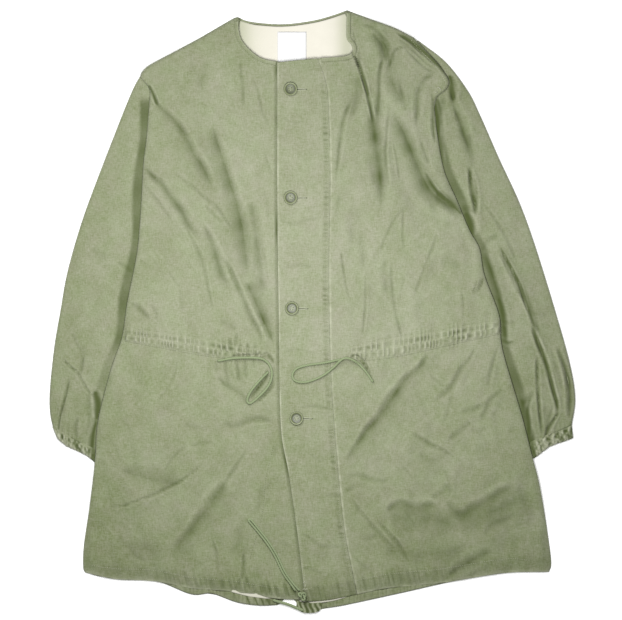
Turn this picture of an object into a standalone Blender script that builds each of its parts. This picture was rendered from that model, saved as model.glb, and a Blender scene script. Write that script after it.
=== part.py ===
"""A collarless work coat, buttoned and laid flat with its front up.

The coat rests on the plane z = 0 and +Y points to the neck. Left and right are the wearer's, so the
wearer's right is at -X. Sizes are in millimetres here and become metres in the meshes. Each cloth piece
is a wall of its own: a grid over its cut outline, with a height for its upper and its lower face.
From the surface up lie the sleeves, the back, the linings and facings, the fronts, and the trims.
"""

import math
from collections import namedtuple

import bmesh
import bpy
import numpy as np
from mathutils import Vector
from mathutils.bvhtree import BVHTree

# ---- driving dimensions, mm ----
MM = 0.001
WALL = 1.2  # one layer of cloth
SEAM_GAP = 0.35  # between pieces at a seam
LAYER_GAP = 0.6  # between layers that lie on each other
LOFT = 2.0  # air between the fronts and the back
ROLL = 14.0  # width over which a folded edge rounds down
EDGE_GRADE = 1.3  # draws a front's grid columns towards its folded edge
SLEEVE_THICKNESS = 4.0  # a sleeve pressed flat, both walls
SLEEVE_CROWN = 1.0  # extra height of a sleeve where nothing lies on it
SLEEVE_EDGE = 3.5  # width of a sleeve's rounded edge
SLEEVE_CLEARANCE = 0.5
UNDER_MARGIN = 25.0  # the body is at its full height this far inside the hidden edge of a sleeve
UNDER_RAMP = 60.0
CUFF_FADE = 110.0  # below the cuffs the body comes down to the surface over this length
PLACKET_RISE = 1.4
PLACKET_WALL = 1.8
UNDERLAP = 45.0  # how far the right front runs on under the placket
UNDERLAP_DROP = 1.6
HEM_DEPTH = 17.0
HEM_EXTRA = 0.5  # the turned-up hem makes the fronts thicker
LINING_WALL = 1.0
FACING_WALL = 1.4
FACING_DEPTH = 14.0
FACING_SPANS = ((0.05, 0.985), (0.135, 0.96))  # shares of the hem's halves, right, left
FACING_WAVES = (24, 28)  # right, left
CASING_WALL = 1.3
CASING_WAVES = (26, 30)  # right, left
CASING_WAVE = 0.5
CUFF_THICKNESS = 5.4
CUFF_WAVES = 9
CUFF_WAVE = 0.9
BINDING_WIDTH = 6.0
BINDING_WALL = 0.9
BUTTON_SIDES = 16
CORD_RADIUS = 1.8
HEM_CORD_RADIUS = 1.5
CORD_STEP = 9.0
CORD_GAP = 0.4
TRIM_GAP = 0.6  # between a trim and the highest cloth near it

Fold = namedtuple("Fold", "piece start middle end width depth")
ButtonPlace = namedtuple("ButtonPlace", "x y")
ProfilePoint = namedtuple("ProfilePoint", "radius height")

# ---- outlines, x and y in mm, each from the neck or the shoulder down or from right to left ----
SHOULDER_RIGHT = [(-259, 352), (-255, 361), (-243, 371), (-213, 387), (-172, 409), (-122, 438), (-112, 442)]
SHOULDER_LEFT = [(52, 452), (87, 439), (123, 426), (152, 411)]
BACK_NECK = [(-112, 442), (-94, 435), (-46, 431), (-2, 436), (26, 443), (52, 452)]
NECK_RIGHT = [(-112, 442), (-109, 416), (-101, 401), (-85, 386), (-71, 379), (-50, 375)]
NECK_LEFT = [(52, 452), (51, 427), (52, 409), (59, 399), (59, 389), (48, 383), (8, 380)]
SIDE_RIGHT = [
    (-259, 352), (-245, 334), (-245, 313), (-249, 263), (-254, 220), (-257, 166), (-263, 92),
    (-278, 15), (-286, -38), (-302, -84), (-322, -163), (-327, -229), (-335, -295), (-343, -350),
    (-344, -382), (-341, -390),
]
ARMHOLE_LEFT = [(152, 411), (173, 389), (188, 373), (198, 359), (205, 346), (201, 334), (187, 322), (183, 305)]
SIDE_LEFT = [
    (183, 305), (188, 262), (198, 211), (217, 167), (236, 122), (251, 95), (258, 56), (280, -4),
    (283, -42), (290, -74), (314, -154), (330, -217), (340, -256), (350, -313), (358, -373), (355, -389),
]
HEM_BACK_RIGHT = [(-341, -390), (-314, -398), (-239, -403), (-182, -424), (-151, -423), (-114, -436), (-80, -441), (-50, -440)]
HEM_NOTCH = [(-50, -440), (-43, -432), (-31, -430), (-22, -438)]
HEM_BACK_LEFT = [(-22, -438), (-17, -449), (-2, -452), (12, -446), (45, -441), (133, -422), (219, -403), (299, -391), (355, -389)]
HEM_FRONT_RIGHT = [(-341, -390), (-296, -400), (-239, -403), (-180, -414), (-121, -419), (-59, -429), (-10, -431), (32, -430)]
HEM_FRONT_LEFT = [(67, -423), (112, -414), (192, -406), (259, -395), (299, -390), (355, -389)]
PLACKET_HEM = [(-11, -434), (25, -431), (67, -423)]
PLACKET_EDGE = [(-53, 374), (-53, 167), (-51, 2), (-48, -167), (-37, -236), (-28, -295), (-20, -355), (-11, -434)]
PLACKET_SEAM = [(8, 380), (19, 350), (24, 315), (27, 200), (25, 60), (28, -90), (36, -206), (48, -325), (67, -423)]
PLACKET_TOP = [(-53, 374), (-15, 378), (8, 380)]
SLEEVE_RIGHT_OUTER = [
    (-256, 357), (-269, 334), (-290, 283), (-329, 182), (-350, 122), (-368, 57), (-378, 1),
    (-387, -52), (-393.6, -115), (-393.6, -150), (-389, -175),
]
SLEEVE_RIGHT_INNER = [
    (-241, 337), (-221, 302), (-211, 257), (-205, 197), (-205, 145), (-214, 92), (-229, 32),
    (-244, -28), (-259, -88), (-277, -150), (-303, -221),
]
SLEEVE_LEFT_OUTER = [
    (158, 407), (200, 374), (233, 331), (251, 295), (280, 229), (310, 164), (334, 98), (364, 1),
    (386, -78), (394, -130), (389, -170),
]
SLEEVE_LEFT_INNER = [
    (143, 390), (149, 347), (145, 302), (143, 242), (146, 182), (155, 130), (173, 77), (191, 17),
    (219, -60), (257, -138), (303, -210),
]
CUFF_RIGHT_MOUTH = [(-383, -190), (-370, -201), (-354, -209), (-338, -217), (-325, -227), (-311, -238)]
CUFF_LEFT_MOUTH = [(391, -190), (378, -195), (362, -200), (348, -208), (334, -219), (314, -230)]
LINING_NECK_RIGHT = [(-106, 434), (-113, 415), (-115, 390), (-110, 345)]
LINING_NECK_LEFT = [(48, 444), (60, 425), (69, 395), (66, 345)]
LABEL_CORNERS = [(-50, 418), (-8, 418), (-8, 368), (-50, 368)]
CASING_RIGHT_TOP = [(-280, -29), (-222, -36), (-155, -46), (-121, -54), (-76, -61)]
CASING_RIGHT_LOWER = [(-282, -40), (-222, -51), (-162, -62), (-124, -66), (-76, -69)]
CASING_LEFT_TOP = [(56, -57), (116, -44), (176, -35), (236, -24), (281, -17)]
CASING_LEFT_LOWER = [(52, -67), (72, -69), (116, -65), (176, -53), (236, -39), (283, -29)]
GATHER_TOP = [(-20, -438.5), (-4, -439), (13, -437.5)]
GATHER_LOWER = [(-19, -446), (-12, -451), (-2, -452), (8, -450), (13, -446)]

# ---- the largest folds of the cloth: a trough from start past middle to end ----
FOLDS = [
    Fold("body", (-243, 333), (-200, 283), (-161, 216), 12, 1.9),
    Fold("body", (-148, 266), (-110, 149), (-76, -40), 12, 2.0),
    Fold("body", (-250, 221), (-203, 161), (-166, 112), 16, 1.7),
    Fold("body", (-165, 110), (-155, 60), (-145, -15), 13, 1.3),
    Fold("body", (-118, 420), (-107, 377), (-104, 310), 11, 1.2),
    Fold("body", (-260, 71), (-224, 53), (-195, 15), 12, 1.2),
    Fold("body", (-305, -295), (-212, -262), (-172, -238), 11, 1.4),
    Fold("body", (-106, -221), (-163, -301), (-201, -351), 17, 2.0),
    Fold("body", (-195, -173), (-124, -175), (-70, -166), 12, 1.3),
    Fold("body", (65, 380), (75, 349), (90, 298), 11, 2.1),
    Fold("body", (51, 301), (42, 241), (38, 177), 12, 1.1),
    Fold("body", (116, 298), (162, 199), (209, 158), 17, 2.2),
    Fold("body", (119, 325), (110, 277), (116, 152), 12, 1.4),
    Fold("body", (188, 117), (167, 62), (149, 21), 13, 1.2),
    Fold("body", (173, -70), (95, -146), (50, -233), 17, 2.0),
    Fold("body", (242, -52), (218, -95), (203, -119), 12, 1.2),
    Fold("body", (292, -116), (260, -146), (212, -176), 13, 1.4),
    Fold("body", (110, -295), (200, -268), (310, -259), 17, 1.6),
    Fold("body", (60, -277), (92, -314), (128, -352), 11, 1.4),
    Fold("body", (274, -361), (236, -382), (205, -395), 13, 1.2),
    Fold("sleeve_right", (-346, -76), (-368, -116), (-378, -165), 9, 1.1),
    Fold("sleeve_right", (-352, -93), (-337, -116), (-327, -150), 10, 0.9),
    Fold("sleeve_left", (299, 62), (330, -13), (366, -149), 11, 1.3),
    Fold("sleeve_left", (336, -79), (340, -118), (346, -170), 9, 1.0),
    Fold("sleeve_left", (368, -70), (379, -104), (386, -150), 9, 0.9),
    Fold("sleeve_left", (242, 247), (244, 210), (245, 171), 11, 0.9),
]

BUTTONS = [ButtonPlace(-33, 334), ButtonPlace(-33, 171), ButtonPlace(-31, 5), ButtonPlace(-24, -160)]
BUTTON_PROFILE = [
    ProfilePoint(7.5, 0.0), ProfilePoint(9.8, 0.7), ProfilePoint(10.3, 1.8), ProfilePoint(9.6, 2.9),
    ProfilePoint(8.2, 3.0), ProfilePoint(6.4, 1.9),
]

# ---- the drawcords' routes, chosen by eye: x, y and the extra height where a cord passes over itself ----
WAIST_CORD_RIGHT = [
    (-141, -74.5, 0), (-123, -73, 0), (-106, -73.5, 0), (-85, -74, 0), (-73, -76, 0), (-65, -82, 0),
    (-61, -92, 0), (-65, -105, 0), (-73, -119, 0), (-83, -131, 0), (-91, -140, 0), (-97, -141, 0),
    (-98, -133, 0), (-94, -121, 0), (-86, -109, 0), (-77, -100, 0), (-69, -94, 2.2), (-66, -90, 4.4),
]
WAIST_CORD_LEFT = [
    (45, -71, 0), (36, -73, 0), (16, -77, 0), (-6, -80, 0), (-23, -85, 0), (-30, -94, 0), (-27, -103, 0),
    (-15, -106, 0), (0, -103, 0), (17, -95, 0), (31, -84, 1.0), (40, -75, 4.3), (48, -70, 4.5),
    (57, -71, 3.0), (69, -78, 0.6), (81, -91, 0), (91, -106, 0),
]
HEM_CORD = [
    (-19, -419, 0), (-28, -409, 0), (-41, -391, 0), (-53, -366, 0), (-66, -345, 0), (-81, -326, 0),
    (-90, -315, 0), (-94, -311, 0), (-94, -316, 0), (-86, -327, 0), (-71, -346, 0), (-59, -366, 0),
    (-47, -390, 0), (-35, -407, 0), (-25, -419, 0),
]
HEM_BRIDGE = [(-49.4, -435.4, 0), (-42, -437.5, 0), (-33, -440.5, 0), (-22.3, -444.5, 0)]
KNOT_PLACE = (-15.5, -425.0)
KNOT_SIZE = (5.4, 4.6, 2.6)

# ---- colours: sRGB of the washed cloth ----
Finish = namedtuple("Finish", "colour roughness")
CLOTH = Finish((0.36, 0.40, 0.255), 0.9)
INSIDE = Finish((0.87, 0.84, 0.74), 0.9)
LABEL_CLOTH = Finish((0.95, 0.95, 0.94), 0.8)
CORD = Finish((0.38, 0.45, 0.29), 0.85)
HORN = Finish((0.33, 0.37, 0.2), 0.4)


# ---- plan geometry ----
def smooth(value):
    held = min(max(value, 0.0), 1.0)
    return held * held * (3.0 - 2.0 * held)


def smooth_path(points):
    """A function from 0..1 to a point on the smooth curve through the points, even in length."""
    knots = [np.array(p, dtype=float) for p in points]
    padded = [2 * knots[0] - knots[1]] + knots + [2 * knots[-1] - knots[-2]]
    dense = [knots[0]]
    steps = 8
    for a, b, c, d in zip(padded, padded[1:], padded[2:], padded[3:]):
        for i in range(1, steps + 1):
            t = i / steps
            bend = (2 * a - 5 * b + 4 * c - d) * t * t + (3 * b - a - 3 * c + d) * t ** 3
            dense.append(b + 0.5 * ((c - a) * t + bend))
    dense = np.array(dense)
    length = np.concatenate([[0.0], np.cumsum(np.linalg.norm(np.diff(dense, axis=0), axis=1))])

    def at(t):
        where = t * length[-1]
        return np.array([np.interp(where, length, dense[:, k]) for k in range(dense.shape[1])])

    at.length = length[-1]
    return at


def chain(*parts):
    """Paths end to end; each part is a path's points and its share of the rows or columns."""
    paths = [smooth_path(points) for points, _ in parts]
    shares = np.cumsum([share for _, share in parts]) / sum(share for _, share in parts)

    def at(t):
        k = min(int(np.searchsorted(shares, t - 1e-9)), len(paths) - 1)
        low = shares[k - 1] if k else 0.0
        return paths[k](min(max((t - low) / (shares[k] - low), 0.0), 1.0))

    return at


def patch(left, right, top, lower):
    """A function from (u, v) to the plan, u from left to right and v from top to bottom."""
    corners = left(0), right(0), left(1), right(1)

    def at(u, v):
        across = (1 - u) * left(v) + u * right(v)
        down = (1 - v) * top(u) + v * lower(u)
        over = (1 - u) * (1 - v) * corners[0] + u * (1 - v) * corners[1]
        under = (1 - u) * v * corners[2] + u * v * corners[3]
        return across + down - over - under

    return at


def ruled(top, lower):
    """A strip between two paths."""
    return lambda u, v: (1 - v) * top(u) + v * lower(u)


def along_edge(edge, inset, width, side):
    """A strip of one width beside an edge, on the side given as +1 (left of its direction) or -1."""
    step = 0.01

    def at(u, v):
        here = edge(u)
        ahead = edge(min(u + step, 1.0)) - edge(max(u - step, 0.0))
        normal = np.array([-ahead[1], ahead[0]]) / np.linalg.norm(ahead) * side
        return here + normal * (inset + width * v)

    return at


def level_function(points):
    """x of a roughly vertical edge as a function of y."""
    path = smooth_path(points)
    samples = np.array([path(i / 200) for i in range(201)])
    order = np.argsort(samples[:, 1])
    return lambda y: float(np.interp(y, samples[order, 1], samples[order, 0]))


def height_function(points):
    """y of a roughly horizontal edge as a function of x."""
    path = smooth_path(points)
    samples = np.array([path(i / 200) for i in range(201)])
    order = np.argsort(samples[:, 0])
    return lambda x: float(np.interp(x, samples[order, 0], samples[order, 1]))


side_right_x = level_function(SIDE_RIGHT)
side_left_x = level_function(ARMHOLE_LEFT + SIDE_LEFT[1:])
sleeve_right_x = level_function(SLEEVE_RIGHT_INNER)
sleeve_left_x = level_function(SLEEVE_LEFT_INNER)
shoulder_right_y = height_function(SHOULDER_RIGHT)
shoulder_left_y = height_function(SHOULDER_LEFT)
hem_back_y = height_function(HEM_BACK_RIGHT + HEM_BACK_LEFT[1:])
placket_edge_x = level_function(PLACKET_EDGE)
placket_seam_x = level_function(PLACKET_SEAM)


# ---- heights ----
def fold_path(fold):
    """Points along a fold's quadratic curve, which passes its middle point halfway."""
    a, m, b = (np.array(p, dtype=float) for p in (fold.start, fold.middle, fold.end))
    control = 2 * m - (a + b) / 2
    steps = 12
    return [((1 - t) ** 2) * a + 2 * t * (1 - t) * control + t * t * b for t in (i / steps for i in range(steps + 1))]


FOLD_PATHS = [(fold, np.array(fold_path(fold))) for fold in FOLDS]


def fold_depth(piece, x, y):
    """The folds' height at a point: a soft trough with a low ridge at each side, fading at its ends."""
    total = 0.0
    here = np.array([x, y])
    for fold, path in FOLD_PATHS:
        if fold.piece != piece:
            continue
        a, b = path[:-1], path[1:]
        run = b - a
        t = np.clip(((here - a) * run).sum(axis=1) / (run * run).sum(axis=1), 0, 1)
        away = np.linalg.norm(here - a - run * t[:, None], axis=1)
        k = int(np.argmin(away))
        if away[k] > 4 * fold.width:
            continue
        along = (k + t[k]) / len(a)
        fade = smooth(min(along, 1 - along) / 0.22)
        d = away[k] / fold.width
        ridge = math.exp(-((d - 1.9) / 0.8) ** 2)
        total += fold.depth * fade * (0.4 * ridge - math.exp(-d * d))
    return total


def lift(x, y):
    """How far the sleeves under the body's sides raise it."""
    full = SLEEVE_THICKNESS + SLEEVE_CLEARANCE
    right = smooth((sleeve_right_x(y) + UNDER_MARGIN + UNDER_RAMP - x) / UNDER_RAMP)
    left = smooth((x - sleeve_left_x(y) + UNDER_MARGIN + UNDER_RAMP) / UNDER_RAMP)
    cuff_end = CUFF_RIGHT_MOUTH[-1][1] if x < 0 else CUFF_LEFT_MOUTH[-1][1]
    fade = smooth((y - cuff_end + UNDER_MARGIN / 2 + CUFF_FADE) / CUFF_FADE)
    return full * max(right, left) * fade


def back_top(x, y):
    return lift(x, y) + WALL


def neck_pad(x, y):
    """Room under the fronts for the lining and the label at the neck."""
    reach = math.hypot((x + 29) / 122, (y - 398) / 82)
    return 2.6 * smooth((1.25 - reach) / 0.4)


def hem_pad(x, y):
    """Room under the fronts for the lining and the facing at the hem."""
    return 2.0 * smooth((hem_back_y(x) + 75 - y) / 25)


def edge_distance(x, y):
    """How far a point of the body is from the folded sides and the shoulder lines."""
    away = min(x - side_right_x(y), side_left_x(y) - x)
    if x < SHOULDER_RIGHT[-1][0]:
        away = min(away, 0.87 * (shoulder_right_y(x) - y))
    if x > SHOULDER_LEFT[0][0]:
        away = min(away, 0.93 * (shoulder_left_y(x) - y))
    return max(away, 0.0)


def placket_share(x, y):
    """1 over the placket, falling to 0 away from it, where folds may start."""
    low, high = placket_edge_x(y), placket_seam_x(y)
    return 1.0 - smooth((max(low - x, x - high) - 2) / 24)


def front_top(x, y):
    """The upper face of the fronts."""
    away = edge_distance(x, y)
    rolled = math.sqrt(1 - (1 - min(away / ROLL, 1)) ** 2)
    pads = (neck_pad(x, y) + hem_pad(x, y)) * smooth(away / ROLL)
    plain = lift(x, y) + WALL + LAYER_GAP + WALL + LOFT * rolled + pads
    folds = fold_depth("body", x, y) * smooth(away / (2 * ROLL)) * (1 - placket_share(x, y))
    return max(plain + folds, lift(x, y) + 2 * WALL + LAYER_GAP + pads)


def hem_extra(lower_edge, x, y):
    return HEM_EXTRA * smooth((lower_edge(x) + HEM_DEPTH + 6 - y) / 6)


# ---- building ----
def material(name, finish):
    made = bpy.data.materials.new(name)
    made.use_nodes = True
    shader = made.node_tree.nodes["Principled BSDF"]
    shader.inputs["Base Color"].default_value = (*finish.colour, 1.0)
    shader.inputs["Roughness"].default_value = finish.roughness
    shader.inputs["Metallic"].default_value = 0.0
    return made


def finish_object(name, bm, finish):
    """Makes the object of a closed mesh given in mm."""
    bmesh.ops.recalc_face_normals(bm, faces=bm.faces[:])
    for vertex in bm.verts:
        vertex.co *= MM
    mesh = bpy.data.meshes.new(name)
    bm.to_mesh(mesh)
    bm.free()
    mesh.shade_smooth()
    mesh.set_sharp_from_angle(angle=math.radians(45))
    mesh.materials.append(material(name, finish))
    obj = bpy.data.objects.new(name, mesh)
    bpy.context.scene.collection.objects.link(obj)
    return obj


def cloth_wall(name, finish, place, faces, columns, rows, grade=lambda u: u):
    """A closed wall over a plan. faces(x, y, u, v) gives its lower and its upper height."""
    bm = bmesh.new()
    bmesh.ops.create_grid(bm, x_segments=columns, y_segments=rows, size=0.5)
    heights = {}
    for vertex in bm.verts:
        u, v = grade(min(max(vertex.co.x + 0.5, 0.0), 1.0)), 0.5 - vertex.co.y
        x, y = place(u, v)
        low, high = faces(x, y, u, v)
        vertex.co = (x, y, low)
        heights[vertex.co.xy.to_tuple()] = high
    grown = bmesh.ops.extrude_face_region(bm, geom=bm.faces[:])
    for item in grown["geom"]:
        if isinstance(item, bmesh.types.BMVert):
            item.co.z = heights[item.co.xy.to_tuple()]
    return finish_object(name, bm, finish)


def tube_wall(name, finish, rings):
    """A closed wall between outer rings and inner rings, open at both ends. rings: (outer, inner) points."""
    bm = bmesh.new()
    made = [[[bm.verts.new(p) for p in ring] for ring in pair] for pair in rings]

    def join(first, second):
        for i in range(len(first)):
            j = (i + 1) % len(first)
            bm.faces.new((first[i], first[j], second[j], second[i]))

    for (outer, inner), (next_outer, next_inner) in zip(made, made[1:]):
        join(outer, next_outer)
        join(next_inner, inner)
    join(made[0][1], made[0][0])
    join(made[-1][0], made[-1][1])
    return finish_object(name, bm, finish)


def resting_height(objects):
    """A function that gives the highest surface of the objects near a point, in mm."""
    trees = []
    for obj in objects:
        corners = [v.co / MM for v in obj.data.vertices]
        trees.append(BVHTree.FromPolygons(corners, [tuple(p.vertices) for p in obj.data.polygons]))
    above, down = 100.0, Vector((0, 0, -1))

    def at(x, y, reach):
        found = []
        while not found:
            places = [(x, y)]
            for r in (reach / 2, reach):
                places += [(x + r * math.cos(a), y + r * math.sin(a)) for a in np.arange(10) * math.tau / 10]
            for tree in trees:
                for px, py in places:
                    hit = tree.ray_cast(Vector((px, py, above)), down)[0]
                    if hit is not None:
                        found.append(hit.z)
            reach *= 1.6
        return max(found)

    return at


# ---- the pieces ----
def make_back():
    columns, rows = 18, 19
    place = patch(
        smooth_path(SIDE_RIGHT),
        chain((ARMHOLE_LEFT, 3), (SIDE_LEFT, 16)),
        chain((SHOULDER_RIGHT, 6), (BACK_NECK, 7), (SHOULDER_LEFT, 5)),
        chain((HEM_BACK_RIGHT, 8), (HEM_NOTCH, 2), (HEM_BACK_LEFT, 8)),
    )

    def faces(x, y, u, v):
        low = lift(x, y)
        return low, low + WALL

    return cloth_wall("back", CLOTH, place, faces, columns, rows)


def make_front_right():
    columns, rows = 16, 32
    hidden_edge = [(x + UNDERLAP, y) for x, y in PLACKET_EDGE[:-1]] + [HEM_FRONT_RIGHT[-1]]
    top_under = [NECK_RIGHT[-1], (PLACKET_EDGE[0][0] + UNDERLAP, PLACKET_EDGE[0][1])]
    place = patch(
        smooth_path(SIDE_RIGHT),
        chain((NECK_RIGHT, 4), (top_under, 2), (hidden_edge, 26)),
        smooth_path(SHOULDER_RIGHT),
        smooth_path(HEM_FRONT_RIGHT),
    )
    hem_y = height_function(HEM_FRONT_RIGHT)

    def faces(x, y, u, v):
        under = smooth((x - placket_edge_x(y) + 16) / 14)
        high = front_top(x, y) - UNDERLAP_DROP * under
        extra = hem_extra(hem_y, x, y) * (1 - under)
        return high - WALL - extra * 0.5, high + extra * 0.5

    return cloth_wall("front_right", CLOTH, place, faces, columns, rows, lambda u: u ** EDGE_GRADE)


def make_front_left():
    columns, rows = 16, 32
    place = patch(
        chain((NECK_LEFT, 5), (PLACKET_SEAM, 27)),
        chain((ARMHOLE_LEFT, 5), (SIDE_LEFT, 27)),
        smooth_path(SHOULDER_LEFT),
        smooth_path(HEM_FRONT_LEFT),
    )
    hem_y = height_function(HEM_FRONT_LEFT)

    def faces(x, y, u, v):
        high = front_top(x, y)
        extra = hem_extra(hem_y, x, y)
        return high - WALL - extra * 0.5, high + extra * 0.5

    return cloth_wall("front_left", CLOTH, place, faces, columns, rows, lambda u: 1 - (1 - u) ** EDGE_GRADE)


def make_placket():
    columns, rows = 4, 27
    seam = [(x - SEAM_GAP, y) for x, y in PLACKET_SEAM]
    top = PLACKET_TOP[:-1] + [seam[0]]
    hem = PLACKET_HEM[:-1] + [seam[-1]]
    place = patch(smooth_path(PLACKET_EDGE), smooth_path(seam), smooth_path(top), smooth_path(hem))

    def faces(x, y, u, v):
        rise = PLACKET_RISE - 0.9 * smooth((u - 0.45) / 0.55)
        high = front_top(x, y) + rise
        return high - PLACKET_WALL, high

    return cloth_wall("placket", CLOTH, place, faces, columns, rows)


def sleeve_ring(outer, inner, height, cuts, floor_cuts, wave_at=None):
    """The outer and the inner ring of a flat sleeve between two plan points.

    cuts and floor_cuts are shares of the width at which the upper and the lower wall have a point.
    """
    width = np.linalg.norm(inner - outer)
    edge = min(SLEEVE_EDGE, 0.25 * width) / width
    upper = [edge] + [edge + (1 - 2 * edge) * c for c in cuts] + [1 - edge]
    lower = [1 - edge] + [1 - edge - (1 - 2 * edge) * c for c in floor_cuts] + [edge]
    rings = []
    for wall in (0.0, WALL):
        inset = wall / width
        ring = []
        for k, t in enumerate(upper):
            x, y = outer + (inner - outer) * min(max(t, inset), 1 - inset)
            top = height(*(outer + (inner - outer) * t), t)
            top *= 0.9 if k in (0, len(upper) - 1) else 1.0
            top += wave_at(t) if wave_at else 0.0
            ring.append((x, y, top - wall))
        middle = SLEEVE_THICKNESS * 0.5
        x, y = outer + (inner - outer) * (1 - inset)
        ring.append((x, y, middle))
        for t in lower:
            x, y = outer + (inner - outer) * t
            ring.append((x, y, wall))
        x, y = outer + (inner - outer) * inset
        ring.append((x, y, middle))
        rings.append(ring)
    return tuple(rings)


def sleeve_height(piece, body_edge, sign):
    """Upper face of a sleeve: flat where the body lies on it, higher and folded where it shows."""

    def at(x, y, t):
        shown = smooth((sign * (x - body_edge(y)) - 12) / 22)
        crown = SLEEVE_CROWN * (1 - (2 * t - 1) ** 4) + fold_depth(piece, x, y)
        return SLEEVE_THICKNESS + shown * crown

    return at


def make_sleeve(name, outer_points, inner_points, body_edge, sign):
    sections, across, below = 18, 9, 1
    outer, inner = smooth_path(outer_points), smooth_path(inner_points)
    height = sleeve_height(name, body_edge, sign)
    cuts = [(i + 1) / (across + 1) for i in range(across)]
    floor_cuts = [(i + 1) / (below + 1) for i in range(below)]
    rings = []
    for i in range(sections + 1):
        s = i / sections
        rings.append(sleeve_ring(outer(s), inner(s), height, cuts, floor_cuts))
    return tube_wall(name, CLOTH, rings)


def make_cuff(name, outer_end, inner_end, mouth_points):
    """The elastic casing at a sleeve's end: gathered on its upper side, flat below."""
    sections, below = 3, 7
    outer_end, inner_end = np.array(outer_end, dtype=float), np.array(inner_end, dtype=float)
    mouth = smooth_path(mouth_points)
    along = mouth(0.5) - (outer_end + inner_end) / 2
    along /= np.linalg.norm(along)
    count = CUFF_WAVES * 2
    rings = []
    for i in range(sections + 1):
        s = i / sections
        puff = 1 - abs(2 * s - 1) ** 3

        def at(t, s=s):
            start = outer_end + (inner_end - outer_end) * t + along * SEAM_GAP
            return start * (1 - s) + mouth(t) * s

        pair = []
        for wall in (0.0, WALL):
            ring = []
            for k in range(count + 1):
                t = 0.03 + 0.94 * k / count
                shown = 1 - smooth((t - 0.5) / 0.2)
                high = SLEEVE_THICKNESS + (CUFF_THICKNESS - SLEEVE_THICKNESS) * puff * shown
                crest = (1 if k % 2 else -1) * (0.75 + 0.25 * math.sin(2.3 * k))
                high += CUFF_WAVE * crest * shown * (0.55 + 0.45 * puff)
                ring.append((*at(t), high - wall - 0.3))
            width = np.linalg.norm(at(1) - at(0))
            ring.append((*at(1 - wall / width), SLEEVE_THICKNESS * 0.5))
            ring += [(*at(0.97 - 0.94 * k / (below + 1)), wall) for k in range(below + 2)]
            ring.append((*at(wall / width), SLEEVE_THICKNESS * 0.5))
            pair.append(ring)
        rings.append(tuple(pair))
    return tube_wall(name, CLOTH, rings)


def make_lining_neck(below):
    columns, rows = 10, 4
    edge = along_edge(smooth_path(BACK_NECK), 4.2, 0.0, -1)
    top = [edge(t, 0) for t in np.linspace(0.04, 0.97, 9)]
    height = resting_height(below)
    right, left = LINING_NECK_RIGHT, LINING_NECK_LEFT
    place = patch(
        smooth_path([top[0]] + right[1:]),
        smooth_path([top[-1]] + left[1:]),
        smooth_path(top),
        smooth_path([right[-1], left[-1]]),
    )

    def faces(x, y, u, v):
        low = height(x, y, 12.0) + SEAM_GAP
        return low, low + LINING_WALL

    return cloth_wall("lining_neck", INSIDE, place, faces, columns, rows)


def make_lining_hem(below):
    columns, rows = 16, 2
    ends = (-255, 60)
    height = resting_height(below)

    def place(u, v):
        x = ends[0] + (ends[1] - ends[0]) * u
        return x, hem_back_y(x) + FACING_DEPTH + 4 + (1 - v) * 34

    def faces(x, y, u, v):
        low = height(x, y, 12.0) + SEAM_GAP
        return low, low + LINING_WALL

    return cloth_wall("lining_hem", INSIDE, place, faces, columns, rows)


def make_facing(name, edge_points, span, waves, below):
    """The gathered casing on the inside of the back's hem. span: the share of the edge that it covers."""
    path = smooth_path(edge_points)
    height = resting_height(below)
    columns, rows = waves * 2, 1

    def place(u, v):
        x, y = path(span[0] + (span[1] - span[0]) * u)
        return x, y + 0.4 + FACING_DEPTH * (1 - v)

    def faces(x, y, u, v):
        low = height(x, y, 6.0) + SEAM_GAP
        ends = smooth(min(u, 1 - u) / 0.04)
        gathers = 0.35 * (1 if round(u * columns) % 2 else -1) * (0.4 + 0.6 * v) * ends
        return low, low + FACING_WALL + gathers

    return cloth_wall(name, CLOTH, place, faces, columns, rows)


def make_casing(name, top_points, lower_points, waves, below):
    """A gathered drawcord casing on a front."""
    columns, rows = waves * 2, 2
    place = ruled(smooth_path(top_points), smooth_path(lower_points))
    height = resting_height(below)

    def faces(x, y, u, v):
        low = height(x, y, 5.0) + TRIM_GAP
        crest = 1 if round(u * columns) % 2 else -1
        uneven = 0.7 + 0.3 * math.sin(37 * u) * math.cos(11 * u)
        puff = 1 - abs(2 * v - 1) ** 3
        return low, low + CASING_WALL + (0.5 + CASING_WAVE * crest * uneven) * puff

    return cloth_wall(name, CLOTH, place, faces, columns, rows)


def make_binding(name, edge_points, span, side, below, columns):
    """The narrow finish of the neck's edge, over a share of the edge."""
    edge = smooth_path(edge_points)
    place = along_edge(lambda t: edge(span[0] + (span[1] - span[0]) * t), 0.5, BINDING_WIDTH, side)
    height = resting_height(below)

    def faces(x, y, u, v):
        low = height(x, y, 7.0) + TRIM_GAP
        return low, low + BINDING_WALL

    return cloth_wall(name, CLOTH, place, faces, columns, 2)


def make_binding_back(below):
    edge = smooth_path(BACK_NECK)
    place = along_edge(lambda t: edge(0.03 + 0.94 * t), 0.2, 2.6, -1)
    height = resting_height(below)

    def faces(x, y, u, v):
        low = height(x, y, 4.0) + SEAM_GAP
        return low, low + BINDING_WALL

    return cloth_wall("neck_binding_back", CLOTH, place, faces, 24, 1)


def make_label(below):
    corners = [np.array(c, dtype=float) for c in LABEL_CORNERS]
    height = resting_height(below)

    def place(u, v):
        top = corners[0] * (1 - u) + corners[1] * u
        lower = corners[3] * (1 - u) + corners[2] * u
        return top * (1 - v) + lower * v

    def faces(x, y, u, v):
        low = height(x, y, 1.0) + SEAM_GAP
        return low, low + 0.6

    return cloth_wall("label", LABEL_CLOTH, place, faces, 4, 4)


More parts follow.
